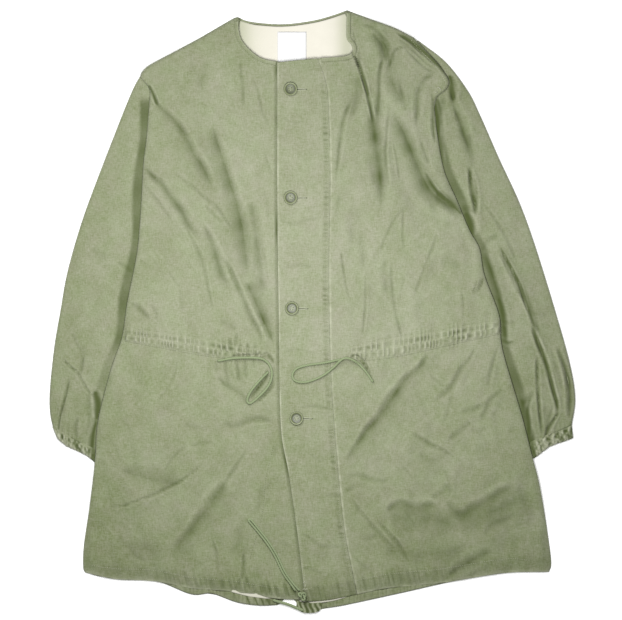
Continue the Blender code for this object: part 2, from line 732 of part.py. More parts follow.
def make_hem_gather(below):
    """The back's hem bunched up where its drawcord is tied."""
    flutes = 5
    place = ruled(smooth_path(GATHER_TOP), smooth_path(GATHER_LOWER))
    height = resting_height(below)

    def faces(x, y, u, v):
        low = height(x, y, 4.0) + SEAM_GAP
        flute = 0.5 - 0.5 * math.cos(flutes * u * math.tau)
        ends = 0.45 + 0.55 * smooth(min(u, 1 - u) / 0.15)
        return low, low + (1.6 + 2.2 * flute * (0.6 + 0.4 * v)) * ends

    return cloth_wall("hem_gather", CLOTH, place, faces, flutes * 4, 3)


def make_button(name, at, below):
    """A turned button with a raised rim round a dished middle."""
    base = resting_height(below)(at.x, at.y, BUTTON_PROFILE[2].radius * 0.9) + CORD_GAP
    bm = bmesh.new()
    rings = []
    for point in BUTTON_PROFILE:
        turned = [i * math.tau / BUTTON_SIDES for i in range(BUTTON_SIDES)]
        ring = [(at.x + point.radius * math.cos(a), at.y + point.radius * math.sin(a)) for a in turned]
        rings.append([bm.verts.new((x, y, base + point.height)) for x, y in ring])
    for low, high in zip(rings, rings[1:]):
        for i in range(BUTTON_SIDES):
            j = (i + 1) % BUTTON_SIDES
            bm.faces.new((low[i], low[j], high[j], high[i]))
    bm.faces.new(reversed(rings[0]))
    bm.faces.new(rings[-1])
    return finish_object(name, bm, HORN)


def make_cord(name, route, radius, below):
    """A round cord laid along its route on what is below it."""
    height = resting_height(below)
    path = smooth_path(route)
    count = max(int(path.length / CORD_STEP), 6)
    curve = bpy.data.curves.new(name, "CURVE")
    curve.dimensions = "3D"
    curve.bevel_depth = radius * MM
    curve.bevel_resolution = 2
    curve.use_fill_caps = True
    spline = curve.splines.new("POLY")
    spline.points.add(count)
    for i in range(count + 1):
        x, y, hump = path(i / count)
        z = height(x, y, CORD_STEP * 0.6) + CORD_GAP + radius + hump
        spline.points[i].co = (x * MM, y * MM, z * MM, 1.0)
    curve.materials.append(material(name, CORD))
    obj = bpy.data.objects.new(name, curve)
    bpy.context.scene.collection.objects.link(obj)
    return obj


def make_knot(below):
    """The drawcord's knot at the hem, a flattened ball with a waist."""
    x, y = KNOT_PLACE
    base = resting_height(below)(x, y, 5.0) + CORD_GAP
    bm = bmesh.new()
    bmesh.ops.create_uvsphere(bm, u_segments=14, v_segments=8, radius=1.0)
    for vertex in bm.verts:
        around = math.atan2(vertex.co.y, vertex.co.x)
        swell = 1.0 + 0.12 * math.cos(3 * around)
        wide, deep, tall = KNOT_SIZE
        vertex.co.x = x + vertex.co.x * wide * swell
        vertex.co.y = y + vertex.co.y * deep * swell
        vertex.co.z = base + tall + vertex.co.z * tall
    return finish_object("hem_knot", bm, CORD)


def clear_scene():
    for obj in list(bpy.data.objects):
        bpy.data.objects.remove(obj, do_unlink=True)


def build():
    clear_scene()
    make_sleeve("sleeve_right", SLEEVE_RIGHT_OUTER, SLEEVE_RIGHT_INNER, side_right_x, -1)
    make_sleeve("sleeve_left", SLEEVE_LEFT_OUTER, SLEEVE_LEFT_INNER, side_left_x, 1)
    make_cuff("cuff_right", SLEEVE_RIGHT_OUTER[-1], SLEEVE_RIGHT_INNER[-1], CUFF_RIGHT_MOUTH)
    make_cuff("cuff_left", SLEEVE_LEFT_OUTER[-1], SLEEVE_LEFT_INNER[-1], CUFF_LEFT_MOUTH)
    back = make_back()
    lining = make_lining_neck([back])
    make_lining_hem([back])
    make_facing("hem_facing_right", HEM_BACK_RIGHT, FACING_SPANS[0], FACING_WAVES[0], [back])
    make_facing("hem_facing_left", HEM_BACK_LEFT, FACING_SPANS[1], FACING_WAVES[1], [back])
    make_binding_back([back])
    make_label([lining])
    right, left, placket = make_front_right(), make_front_left(), make_placket()
    make_casing("waist_casing_right", CASING_RIGHT_TOP, CASING_RIGHT_LOWER, CASING_WAVES[0], [right])
    make_casing("waist_casing_left", CASING_LEFT_TOP, CASING_LEFT_LOWER, CASING_WAVES[1], [left])
    make_binding("neck_binding_right", NECK_RIGHT, (0.06, 0.955), -1, [right], 16)
    make_binding("neck_binding_left", NECK_LEFT, (0.03, 0.955), 1, [left], 20)
    for number, at in enumerate(BUTTONS, 1):
        make_button(f"button_{number}", at, [placket])
    fronts = [right, left, placket]
    make_cord("waist_cord_right", WAIST_CORD_RIGHT, CORD_RADIUS, fronts)
    make_cord("waist_cord_left", WAIST_CORD_LEFT, CORD_RADIUS, fronts + [bpy.data.objects["waist_casing_left"]])
    make_cord("hem_cord", HEM_CORD, HEM_CORD_RADIUS, fronts)
    make_cord("hem_cord_bridge", HEM_BRIDGE, HEM_CORD_RADIUS, [back])
    make_knot(fronts)
    make_hem_gather([back])


build()
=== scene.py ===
import math
from collections import namedtuple

import bpy
import numpy as np
from mathutils import Matrix, Vector


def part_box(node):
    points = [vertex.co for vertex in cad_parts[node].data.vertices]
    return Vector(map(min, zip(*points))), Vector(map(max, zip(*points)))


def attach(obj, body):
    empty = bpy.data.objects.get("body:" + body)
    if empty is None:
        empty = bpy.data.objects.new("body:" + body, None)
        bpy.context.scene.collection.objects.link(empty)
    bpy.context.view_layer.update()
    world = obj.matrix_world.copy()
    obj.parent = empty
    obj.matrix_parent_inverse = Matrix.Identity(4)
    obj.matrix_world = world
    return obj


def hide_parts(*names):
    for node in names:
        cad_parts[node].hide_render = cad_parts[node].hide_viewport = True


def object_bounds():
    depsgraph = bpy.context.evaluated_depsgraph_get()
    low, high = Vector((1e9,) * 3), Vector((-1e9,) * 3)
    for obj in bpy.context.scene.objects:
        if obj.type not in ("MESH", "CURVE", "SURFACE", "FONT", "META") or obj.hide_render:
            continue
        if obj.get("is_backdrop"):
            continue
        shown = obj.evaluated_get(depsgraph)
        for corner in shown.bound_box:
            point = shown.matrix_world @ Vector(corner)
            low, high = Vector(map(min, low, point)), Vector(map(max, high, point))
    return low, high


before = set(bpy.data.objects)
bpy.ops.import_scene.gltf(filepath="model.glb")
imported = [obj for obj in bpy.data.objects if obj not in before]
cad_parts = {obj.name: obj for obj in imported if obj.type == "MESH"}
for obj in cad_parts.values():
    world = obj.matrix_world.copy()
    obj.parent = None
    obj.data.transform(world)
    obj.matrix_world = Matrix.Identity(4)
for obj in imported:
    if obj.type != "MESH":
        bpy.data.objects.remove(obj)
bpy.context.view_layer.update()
print("frame loaded")

mm = 0.001
tau = math.tau

# sizes in mm, x and y from the coat's middle, right and left the wearer's
wall = 1.2
sleeveThickness = 4.0
placketRise = 1.4
hemRim = 1.3
body = {
    "layerGap": 0.6, "loft": 2.0, "neckEnds": (-112, 52), "underReach": 85.0, "underRamp": 60.0,
    "cuffEnds": (-238, -230), "cuffFade": 110.0, "rollRadius": 5,
    "neckPad": 2.6, "hemPad": 2.0, "hemLow": 3.4,
}

shoulderRight = [(-259, 352), (-255, 361), (-243, 371), (-213, 387), (-172, 409), (-122, 438), (-112, 442)]
shoulderLeft = [(52, 452), (87, 439), (123, 426), (152, 411)]
backNeck = [(-112, 442), (-94, 435), (-46, 431), (-2, 436), (26, 443), (52, 452)]
neckRight = [(-112, 442), (-109, 416), (-101, 401), (-85, 386), (-71, 379), (-50, 375)]
neckLeft = [(52, 452), (51, 427), (52, 409), (59, 399), (59, 389), (48, 383), (8, 380)]
sideRight = [
    (-259, 352), (-245, 334), (-245, 313), (-249, 263), (-254, 220), (-257, 166), (-263, 92), (-278, 15),
    (-286, -38), (-302, -84), (-322, -163), (-327, -229), (-335, -295), (-343, -350), (-344, -382),
    (-341, -390),
]
armholeLeft = [(152, 411), (173, 389), (188, 373), (198, 359), (205, 346), (201, 334), (187, 322), (183, 305)]
sideLeft = [
    (183, 305), (188, 262), (198, 211), (217, 167), (236, 122), (251, 95), (258, 56), (280, -4), (283, -42),
    (290, -74), (314, -154), (330, -217), (340, -256), (350, -313), (358, -373), (355, -389),
]
hemBackRight = [
    (-341, -390), (-314, -398), (-239, -403), (-182, -424), (-151, -423), (-114, -436), (-80, -441),
    (-50, -440),
]
hemNotch = [(-50, -440), (-43, -432), (-31, -430), (-22, -438)]
hemBackLeft = [
    (-22, -438), (-17, -449), (-2, -452), (12, -446), (45, -441), (133, -422), (219, -403), (299, -391),
    (355, -389),
]
hemFrontRight = [
    (-341, -390), (-296, -400), (-239, -403), (-180, -414), (-121, -419), (-59, -429), (-10, -431),
    (32, -430),
]
hemFrontLeft = [(67, -423), (112, -414), (192, -406), (259, -395), (299, -390), (355, -389)]
placketHem = [(-11, -434), (25, -431), (67, -423)]
placketEdge = [
    (-53, 374), (-53, 167), (-51, 2), (-48, -167), (-37, -236), (-28, -295), (-20, -355), (-11, -434),
]
placketSeam = [
    (8, 380), (19, 350), (24, 315), (27, 200), (25, 60), (28, -90), (36, -206), (48, -325), (67, -423),
]
placketTop = [(-53, 374), (-15, 378), (8, 380)]
sleeveRightOuter = [
    (-256, 357), (-269, 334), (-290, 283), (-329, 182), (-350, 122), (-368, 57), (-378, 1), (-387, -52),
    (-393.6, -115), (-393.6, -150), (-389, -175),
]
sleeveRightInner = [
    (-241, 337), (-221, 302), (-211, 257), (-205, 197), (-205, 145), (-214, 92), (-229, 32), (-244, -28),
    (-259, -88), (-277, -150), (-303, -221),
]
sleeveLeftOuter = [
    (158, 407), (200, 374), (233, 331), (251, 295), (280, 229), (310, 164), (334, 98), (364, 1), (386, -78),
    (394, -130), (389, -170),
]
sleeveLeftInner = [
    (143, 390), (149, 347), (145, 302), (143, 242), (146, 182), (155, 130), (173, 77), (191, 17),
    (219, -60), (257, -138), (303, -210),
]
cuffRightMouth = [(-383, -190), (-370, -201), (-354, -209), (-338, -217), (-325, -227), (-311, -238)]
cuffLeftMouth = [(391, -190), (378, -195), (362, -200), (348, -208), (334, -219), (314, -230)]
casingRightTop = [(-280, -29), (-222, -36), (-155, -46), (-121, -54), (-76, -61)]
casingRightLower = [(-282, -40), (-222, -51), (-162, -62), (-124, -66), (-76, -69)]
casingLeftTop = [(56, -57), (116, -44), (176, -35), (236, -24), (281, -17)]
casingLeftLower = [(52, -67), (72, -69), (116, -65), (176, -53), (236, -39), (283, -29)]

# the creases, listed one by one: half width, depth, lean (at 1 the left side is steep), then each point's x
# and y
Crease = namedtuple("Crease", "piece width depth lean points")
creases = []


def creasesOn(piece, *rows):
    for width, depth, lean, *spots in rows:
        creases.append(Crease(piece, width, depth, lean, list(zip(spots[::2], spots[1::2]))))


creasesOn(
    "body",
    (6.6, 2.4, 0.6, -149, 281, -143, 257, -134, 230, -125, 200, -116, 172, -109, 145, -104, 121, -101, 95,
     -98, 71, -97, 47),
    (5.1, 2.8, -0.6, -101, 44, -94, 31, -85, 11, -76, -10, -68, -28, -56, -53),
    (3.2, 2.3, 0.3, -139, 85, -127, 70, -118, 52, -109, 31, -100, 10, -92, -8, -82, -25, -77, -41, -76, -58),
    (4.5, 2.8, 0.2, -253, 220, -241, 205, -227, 193, -217, 178, -205, 163, -194, 149, -188, 134, -178, 122,
     -164, 109),
    (4.5, 2.3, 0.3, -163, 130, -154, 113, -148, 95, -142, 76, -136, 56, -124, 32),
    (2.0, 1.3, 0.3, -191, 128, -178, 106, -167, 82, -161, 62, -157, 41, -152, 17, -148, -7),
    (2.0, 1.6, 0.4, -188, 197, -176, 185, -164, 173, -154, 167, -143, 158, -134, 145, -125, 131, -116, 122),
    (1.8, 1.0, 0.3, -161, 160, -152, 151, -142, 140, -133, 133),
    (2.0, 1.2, 0.3, -256, 196, -242, 179, -229, 163, -218, 146, -209, 131),
    (2.1, 0.7, 0, -208, 209, -193, 197, -179, 182),
    (2.1, 1.8, 0.3, -109, 377, -106, 355, -104, 332, -104, 305),
    (1.8, 1.2, 0.3, -92, 353, -83, 335, -79, 317, -74, 299, -68, 286, -64, 274),
    (1.7, 0.8, 0, -71, 238, -65, 217, -59, 200, -53, 187),
    (1.7, 0.7, 0, -73, 182, -68, 160, -67, 134),
    (4.5, 0.7, 0, -158, 377, -163, 356, -167, 332),
    (3.4, 1.8, 0.3, -274, 13, -263, 8, -253, -2, -242, -13),
    (2.1, 0.8, 0, -244, 11, -236, -1, -235, -16),
    (1.7, 0.7, 0, -241, 83, -230, 65, -220, 49),
    (1.8, 0.8, 0, -217, 61, -208, 47, -197, 35),
    (1.8, 0.6, 0, -260, 79, -250, 70, -238, 61),
    (3.9, 1.1, -0.4, -140, -13, -130, -19, -113, -28),
    (2.4, 0.6, 0, -200, 35, -197, 14, -196, -7),
    (2.1, 0.8, 0, -76, 100, -70, 74, -67, 47),
    (6.3, 1.9, 0.2, 85, 308, 91, 287, 95, 263, 98, 239, 101, 212, 103, 182, 103, 145),
    (2.8, 2.1, 0.3, 59, 319, 52, 302, 46, 284, 43, 265, 40, 242, 37, 217, 34, 185),
    (3.3, 1.1, 0, 41, 176, 38, 158, 34, 137),
    (4.5, 1.4, 0, 67, 353, 68, 332, 65, 311, 61, 290),
    (2.2, 1.5, 0.3, 104, 377, 101, 355, 100, 332, 98, 308, 97, 287),
    (2.0, 1.6, 0.4, 116, 305, 113, 284, 112, 263, 110, 239, 112, 212, 115, 182),
    (1.5, 1.0, 0, 121, 257, 127, 227, 131, 194),
    (3.0, 1.1, 0, 131, 344, 134, 329, 137, 314, 142, 299),
    (3.3, 2.2, -0.3, 185, 356, 172, 352, 163, 340, 158, 326, 157, 310, 157, 293, 155, 275),
    (2.7, 1.6, 0.3, 163, 257, 169, 239, 176, 220),
    (1.8, 1.4, 0.3, 43, 92, 46, 71, 49, 50, 52, 32, 58, 14),
    (1.8, 1.4, 0, 80, 53, 80, 26, 79, 2, 77, -20, 74, -43),
    (2.0, 1.5, -0.3, 148, 163, 134, 152, 122, 137, 113, 119, 106, 103, 101, 86),
    (1.8, 1.1, 0, 137, 154, 136, 134, 136, 113, 139, 89),
    (3.6, 1.2, 0, 110, 80, 107, 61, 110, 43, 113, 23),
    (2.1, 1.6, 0.3, 118, 74, 119, 47, 121, 26, 124, 5, 128, -14, 133, -31, 134, -49),
    (2.0, 1.2, -0.3, 187, 118, 182, 100, 176, 85, 170, 70, 164, 55, 157, 35, 149, 19),
    (1.8, 1.0, -0.3, 146, 62, 137, 49, 133, 32, 131, 13),
    (3.0, 1.9, 0, 241, 28, 250, 35, 256, 52),
    (2.4, 0.8, 0, 224, 32, 227, 11, 226, -13),
    (3.9, 0.7, 0, 58, 160, 58, 130, 59, 98),
    (3.9, 0.8, 0, 73, 115, 76, 89, 77, 65),
    (6.0, 0.8, 0, 191, 74, 209, 74, 224, 65),
    (3.9, 2.1, -0.5, -133, -169, -119, -173, -107, -170, -94, -164, -76, -163, -55, -166),
    (1.8, 1.2, 0, -188, -193, -194, -205, -205, -215, -215, -227, -224, -244),
    (3.0, 0.9, 0, -184, -202, -169, -199, -148, -196),
    (1.8, 2.6, 0.3, -163, -227, -175, -238, -187, -247, -199, -256, -214, -263, -229, -271, -244, -278,
     -259, -283, -274, -289, -290, -293, -313, -296),
    (2.2, 1.7, 0, -98, -208, -107, -221, -116, -235, -125, -248, -136, -265),
    (5.7, 2.4, -0.3, -130, -254, -140, -269, -151, -284, -161, -299, -173, -314, -185, -331, -199, -347,
     -212, -362),
    (1.7, 0.9, 0, -202, -73, -206, -91, -212, -109, -223, -122, -235, -142),
    (1.5, 0.6, 0, -184, -100, -197, -109, -209, -119),
    (4.5, 1.3, 0, -143, -98, -130, -112, -116, -119, -106, -128, -98, -142),
    (2.1, 0.9, 0, -128, -86, -115, -98, -98, -109),
    (1.8, 0.7, 0, -76, -134, -67, -148, -55, -160),
    (3.0, 1.0, 0, -73, -257, -79, -275, -82, -293, -92, -310),
    (2.2, 0.8, 0, -61, -253, -70, -268, -76, -283),
    (4.5, 0.9, 0, -98, -308, -109, -329, -113, -350, -125, -367),
    (2.1, 1.4, 0.3, -151, -340, -145, -358, -143, -374, -140, -394),
    (2.7, 1.0, 0, -83, -347, -67, -344, -49, -347, -31, -352),
    (2.7, 1.2, 0, -47, -190, -53, -202, -61, -217),
    (3.3, 0.7, 0, -194, -170, -176, -173, -154, -178),
    (2.4, 0.6, 0, -307, -190, -295, -208, -286, -232),
    (3.0, 0.7, 0, -277, -350, -266, -367, -247, -376),
    (4.7, 3.0, -0.5, 175, -58, 166, -74, 155, -88, 142, -97, 133, -109, 124, -121, 115, -134, 106, -149,
     95, -163, 83, -175, 74, -188, 65, -202, 55, -217, 43, -232),
    (3.0, 2.0, -0.3, 245, -52, 236, -70, 227, -80, 218, -94, 211, -107, 203, -118, 191, -128, 175, -137),
    (3.3, 1.8, -0.3, 287, -116, 275, -125, 265, -134, 259, -149, 250, -166),
    (3.6, 1.3, 0, 259, -139, 239, -148, 220, -152),
    (3.0, 1.8, 0, 238, -164, 226, -176, 214, -185, 202, -194),
    (2.7, 2.1, 0.3, 148, -182, 163, -190, 178, -199, 191, -205, 203, -212, 217, -221),
    (6.0, 1.0, 0, 161, -209, 170, -220, 185, -221, 197, -215),
    (3.3, 1.0, 0, 263, -172, 250, -179, 235, -178),
    (2.2, 1.2, 0, 280, -47, 274, -68, 268, -91, 263, -118),
    (2.0, 0.8, 0, 175, -94, 187, -104, 200, -116),
    (2.2, 0.9, 0, 208, -124, 206, -145, 194, -172),
    (3.3, 1.2, 0.3, 49, -248, 62, -245, 77, -247, 92, -253, 121, -254),
    (3.0, 1.5, 0, 43, -274, 52, -269, 65, -263),
    (2.4, 1.7, 0.5, 58, -280, 68, -293, 79, -307, 89, -320, 100, -332, 113, -346, 130, -359),
    (2.4, 2.0, 0.5, 97, -313, 109, -325, 119, -337, 128, -347, 137, -361, 146, -377),
    (4.8, 2.2, 0.6, 110, -301, 122, -290, 136, -287, 149, -292, 164, -292, 178, -289, 191, -296),
    (3.0, 1.6, 0, 178, -281, 188, -275, 197, -269, 203, -262, 209, -275),
    (5.7, 2.5, 0.2, 200, -283, 212, -298, 226, -305, 238, -296, 253, -289, 269, -280, 286, -269, 307, -260),
    (2.1, 0.9, 0, 134, -232, 143, -241, 152, -254),
    (3.9, 1.1, 0, 73, -340, 86, -340, 100, -334),
    (2.2, 0.7, 0, 137, -298, 149, -314, 160, -332),
    (3.0, 0.9, 0, 64, -368, 73, -380, 86, -389),
    (2.2, 0.6, 0, 196, -235, 205, -250, 209, -265),
    (3.9, 1.0, 0, 257, -338, 269, -322, 289, -313, 308, -302),
)
creasesOn(
    "sleeveRight",
    (1.7, 2.8, 0.3, -376, -70, -364, -82, -353, -91, -346, -103, -337, -118, -325, -131),
    (3.6, 0.9, 0, -343, -50, -346, -73, -347, -97),
    (2.4, 1.6, 0, -365, -97, -370, -119, -374, -140, -376, -163),
    (2.7, 1.6, 0, -352, -157, -356, -175, -353, -193),
    (2.4, 1.8, 0, -292, 74, -281, 68, -269, 59),
    (2.1, 0.9, 0, -362, -32, -355, -47, -347, -61),
    (4.5, 0.7, 0, -328, 98, -319, 86, -307, 79),
    (2.4, 1.4, 0, -337, -151, -335, -169, -340, -190),
)
creasesOn(
    "sleeveLeft",
    (2.1, 1.5, 0, 256, 164, 269, 146, 280, 130, 292, 110, 301, 89, 310, 70),
    (3.2, 3.4, -0.5, 280, 92, 290, 71, 301, 52, 311, 32, 322, 13, 331, -7, 338, -28, 343, -46),
    (3.0, 2.2, 0, 280, 115, 266, 109, 259, 101, 251, 89),
    (3.9, 1.0, 0, 349, -139, 353, -160, 353, -184),
    (3.0, 1.8, 0, 313, -139, 323, -130, 334, -121),
    (2.2, 1.2, 0, 358, -55, 364, -76, 371, -97, 376, -121),
    (3.9, 1.0, 0, 332, -1, 343, -5, 355, -4),
    (2.2, 1.3, 0, 361, -140, 356, -160, 350, -181),
    (2.4, 1.0, 0, 286, -14, 296, -17, 305, -14),
    (2.4, 1.0, 0, 289, -44, 299, -47, 307, -44),
)
creasesOn(
    "body",
    (1.7, 2.6, 0, -248, 341, -241, 331, -236, 320, -232, 311, -224, 304),
    (4.8, 2.4, 0.5, -235, 314, -224, 304, -215, 296, -205, 286, -194, 271, -185, 254, -178, 238, -167, 223,
     -157, 203, -148, 181),
    (1.8, 4.2, 0, 62, 386, 67, 376, 71, 362, 76, 347, 80, 334, 85, 317, 89, 298, 92, 281),
    (1.7, 3.2, 0, 58, 394, 62, 385, 67, 374, 70, 364),
    (2.0, 1.3, 0.3, 61, 422, 65, 404, 70, 389, 74, 371),
    (6.0, 1.6, 0.4, 89, 422, 98, 410, 106, 398, 110, 386, 113, 374),
    (2.1, 1.7, 0, 74, 430, 89, 427, 100, 419, 107, 410, 118, 404),
    (1.8, 1.6, 0, 122, 376, 122, 388, 127, 394, 136, 397, 145, 398),
    (2.2, 1.3, 0.3, 139, 394, 148, 386, 157, 377, 167, 368, 178, 361, 190, 358),
    (2.5, 4.0, -0.3, 124, 419, 136, 412, 146, 406, 154, 400, 163, 392, 172, 385, 181, 377, 190, 370, 197, 361,
     203, 350, 206, 340),
    (2.0, 3.2, 0, 178, 329, 181, 316, 181, 299, 181, 286, 182, 269, 185, 251),
)
creasesOn(
    "sleeveLeft",
    (3.6, 5.4, 0, 184, 326, 187, 308, 187, 293, 187, 278, 188, 260, 191, 239, 196, 215),
)
creasesOn(
    "body",
    (2.0, 1.5, 0, 191, 316, 188, 307, 187, 296),
    (8.4, 3.1, 0.3, 122, 299, 131, 281, 139, 266, 146, 248, 154, 230, 161, 212, 170, 194, 182, 178, 197, 164,
     214, 155, 226, 148),
    (2.2, 2.8, 0.3, 170, 209, 178, 193, 187, 181, 196, 172, 208, 163),
)
creasesOn(
    "sleeveLeft",
    (4.8, 2.4, 0, 205, 343, 209, 326, 212, 311, 218, 296, 224, 283, 227, 266, 233, 248, 238, 230),
    (2.2, 2.8, -0.3, 235, 215, 236, 197, 239, 176, 244, 158, 245, 140),
    (1.7, 2.2, 0, 242, 209, 245, 191, 247, 170),
    (5.1, 1.3, 0, 236, 269, 239, 248, 241, 227, 239, 209),
    (5.1, 3.4, 0, 224, 161, 232, 148, 236, 133, 238, 115, 242, 98),
    (4.2, 3.4, 0, 257, 86, 265, 68, 271, 47, 277, 28, 283, 5),
)
creasesOn(
    "sleeveRight",
    (4.2, 9.0, 0, -326, -118, -321, -137, -322, -163),
    (3.3, 2.2, 0, -322, -148, -328, -178, -332, -217),
)
creasesOn(
    "body",
    (5.1, 2.4, 0, 203, -398, 220, -385, 236, -376, 253, -367, 272, -358),
    (2.0, 2.2, 0, -103, -361, -103, -380, -104, -394, -109, -412),
    (2.7, 2.6, 0, -101, -398, -98, -409, -94, -418),
    (2.1, 1.8, 0, -109, -401, -110, -416),
    (2.2, 2.2, 0, -55, -412, -52, -422, -50, -431),
    (2.1, 2.2, 0, -43, -406, -40, -418, -37, -430),
    (2.0, 1.8, 0, -67, -404, -64, -418, -62, -428),
    (2.2, 2.4, 0, -34, -410, -28, -421, -23, -430),
    (2.0, 1.6, 0, -76, -407, -74, -424),
    (2.0, 1.6, 0, -136, -403, -134, -418),
    (2.0, 2.2, 0, -125, -40, -122, -53, -121, -65),
    (2.1, 2.4, 0, -113, -31, -115, -46, -116, -58, -115, -68),
    (2.0, 1.6, 0, -137, -37, -134, -50, -131, -62),
    (2.1, 1.8, 0, -98, -46, -97, -58, -98, -70),
    (2.0, 1.6, 0, -107, -47, -107, -65),
    (2.1, 1.7, 0, -86, -47, -89, -68),
    (2.2, 2.2, 0, -115, -70, -113, -86, -110, -106),
    (2.2, 1.8, 0, -100, -70, -100, -85, -98, -103),
    (2.0, 1.4, 0, -89, -71, -88, -86),
    (2.1, 1.4, 0, -131, -73, -130, -92, -125, -113),
    (1.8, 1.2, 0, -145, -74, -143, -92),
    (1.8, 3.4, 0, -122, -68, -107, -66, -94, -66, -82, -65, -74, -67),
    (2.4, 3.8, 0, -76, -68, -68, -65, -62, -70, -56, -79),
    (2.4, 3.2, 0, 58, -67, 68, -68, 76, -76, 85, -88),
    (1.8, 1.5, 0, 97, -73, 98, -85),
    (1.8, 1.4, 0, 80, -70, 82, -79),
    (1.8, 3.0, 0, -59, -79, -56, -94, -61, -113, -73, -127, -86, -139),
    (2.2, 3.8, 0, -67, -86, -71, -100, -80, -112, -89, -124, -94, -133),
    (1.8, 3.0, 0, 61, -65, 70, -70, 77, -77, 85, -89, 91, -103),
)
creasesOn(
    "sleeveRight",
    (1.2, 3.4, 0, -364, -100, -370, -125, -376, -145, -380, -163, -382, -187),
    (3.6, 5.2, 0, -328, -124, -322, -137, -322, -149, -323, -164),
    (3.3, 3.4, 0, -323, -163, -329, -187, -331, -211),
    (1.8, 2.0, 0, -344, -67, -347, -85, -350, -97),
)
creasesOn(
    "sleeveLeft",
    (2.4, 10.0, 0, 328, -19, 338, -46, 349, -73, 356, -97, 362, -121, 367, -139, 368, -160),
    (2.1, 4.6, 0, 337, -67, 338, -106, 340, -139, 343, -169, 346, -190),
    (3.0, 4.0, 0, 367, -52, 376, -76, 382, -97, 386, -121, 386, -145, 386, -163),
    (2.2, 3.8, 0, 328, -127, 323, -148, 325, -170, 323, -196),
    (2.1, 4.2, 0, 370, -151, 359, -167, 352, -181, 349, -196),
    (3.9, 4.6, 0, 310, -124, 317, -148, 320, -169, 325, -196, 332, -220),
    (1.8, 2.6, 0, 281, -40, 292, -46, 302, -44),
)
creasesOn(
    "body",
    (13.5, 1.4, 0.5, 113, -313, 149, -304, 188, -311, 224, -320),
    (13.5, 1.5, 0.5, 218, -319, 251, -305, 281, -292, 311, -283, 338, -280),
    (12.0, 1.2, 0, 107, -355, 161, -361, 236, -355),
    (10.5, 1.2, 0, -289, -238, -244, -253, -191, -262),
    (12.0, 1.0, 0, -304, -343, -244, -355, -169, -361),
)
creasesOn(
    "sleeveLeft",
    (3.6, 4.5, 0, 323, -170, 328, -190, 331, -208),
    (1.8, 8.0, 0, 281, 97, 298, 65, 310, 41, 317, 19, 328, -10, 338, -40),
    (3.9, 7.0, 0, 230, 149, 236, 130, 239, 110),
    (3.6, 6.0, 0, 278, 23, 284, 2, 287, -22, 290, -49),
    (2.2, 8.0, 0, 181, 326, 184, 305, 187, 281, 188, 254),
)
creasesOn(
    "body",
    (1.7, 8.0, 0, 68, 383, 74, 362, 79, 344, 85, 320),
    (6.3, 2.4, 0, 128, 416, 149, 401, 176, 380, 200, 353),
)
creasesOn(
    "sleeveLeft",
    (3.8, 5.0, 0, 205, 356, 209, 338, 212, 314),
)
creasesOn(
    "body",
    (1.8, 5.0, 0, -245, 341, -239, 326, -232, 308),
    (6.3, 3.0, 0, 185, 178, 206, 161, 227, 142),
)
creasesOn(
    "sleeveLeft",
    (3.3, 4.0, 0, 236, 218, 239, 194, 244, 167, 242, 143),
)
creasesOn(
    "body",
    (1.0, 3.0, 0, 257, 55, 254, 41, 248, 31),
    (1.0, 3.0, 0, 247, 47, 244, 38, 239, 29),
    (7.5, 1.6, 0.4, -91, 167, -85, 122, -79, 74, -73, 17),
    (7.5, 0.9, 0, 50, 350, 56, 323, 53, 290),
    (6.8, 2.0, 0, 89, 418, 107, 401, 113, 380, 116, 350, 128, 325, 140, 305),
    (3.8, 2.0, 0, 107, 383, 101, 353, 101, 311, 98, 272),
    (1.8, 2.6, 0, 136, 398, 124, 394, 119, 383, 115, 365),
    (8.2, 1.5, 0, 86, 299, 94, 257, 101, 203, 104, 167),
)
creasesOn(
    "sleeveLeft",
    (2.4, 1.2, 0, 214, 305, 220, 287, 229, 263, 238, 242),
)
creasesOn(
    "placket",
    (2.4, 3.6, 0, -16, -418, -11, -428, -5, -439),
)
creasesOn(
    "body",
    (2.2, 3.4, 0, -23, -419, -19, -428, -17, -436),
    (3.0, 3.0, 0, -91, -427, -88, -433),
)
creasesOn(
    "placket",
    (2.4, 1.1, 0, -19, -145, 3, -143, 28, -147),
    (2.2, 0.9, 0, -19, -332, -4, -340, 11, -352, 27, -354, 50, -353),
    (2.4, 0.9, 0, -19, -384, 1, -389, 16, -395),
    (2.2, 0.8, 0, -4, -214, 7, -222, 16, -227),
    (2.4, 0.9, 0, 20, -276, 35, -277, 48, -276),
    (3.0, 0.8, 0, -50, 138, -30, 131, -8, 137, 15, 140),
    (2.0, 0.7, 0, -46, 292, -28, 284, -10, 286),
    (2.0, 0.7, 0, -50, 62, -25, 70, 4, 66),
    (1.8, 0.6, 0, -44, -62, -20, -58, 10, -66),
)


# plan
def smooth(value):
    held = np.clip(value, 0, 1)
    return held * held * (3 - 2 * held)


def bell(distance, width):
    return np.exp(-(distance / width) ** 2)


def rounded(share):
    # a quarter circle, the profile of a rolled edge
    return np.sqrt(1 - (1 - np.clip(share, 0, 1)) ** 2)


def shares(*counts):
    return [np.linspace(0, 1, count) for count in counts]


def between(span, t):
    return span[0] + (span[1] - span[0]) * t


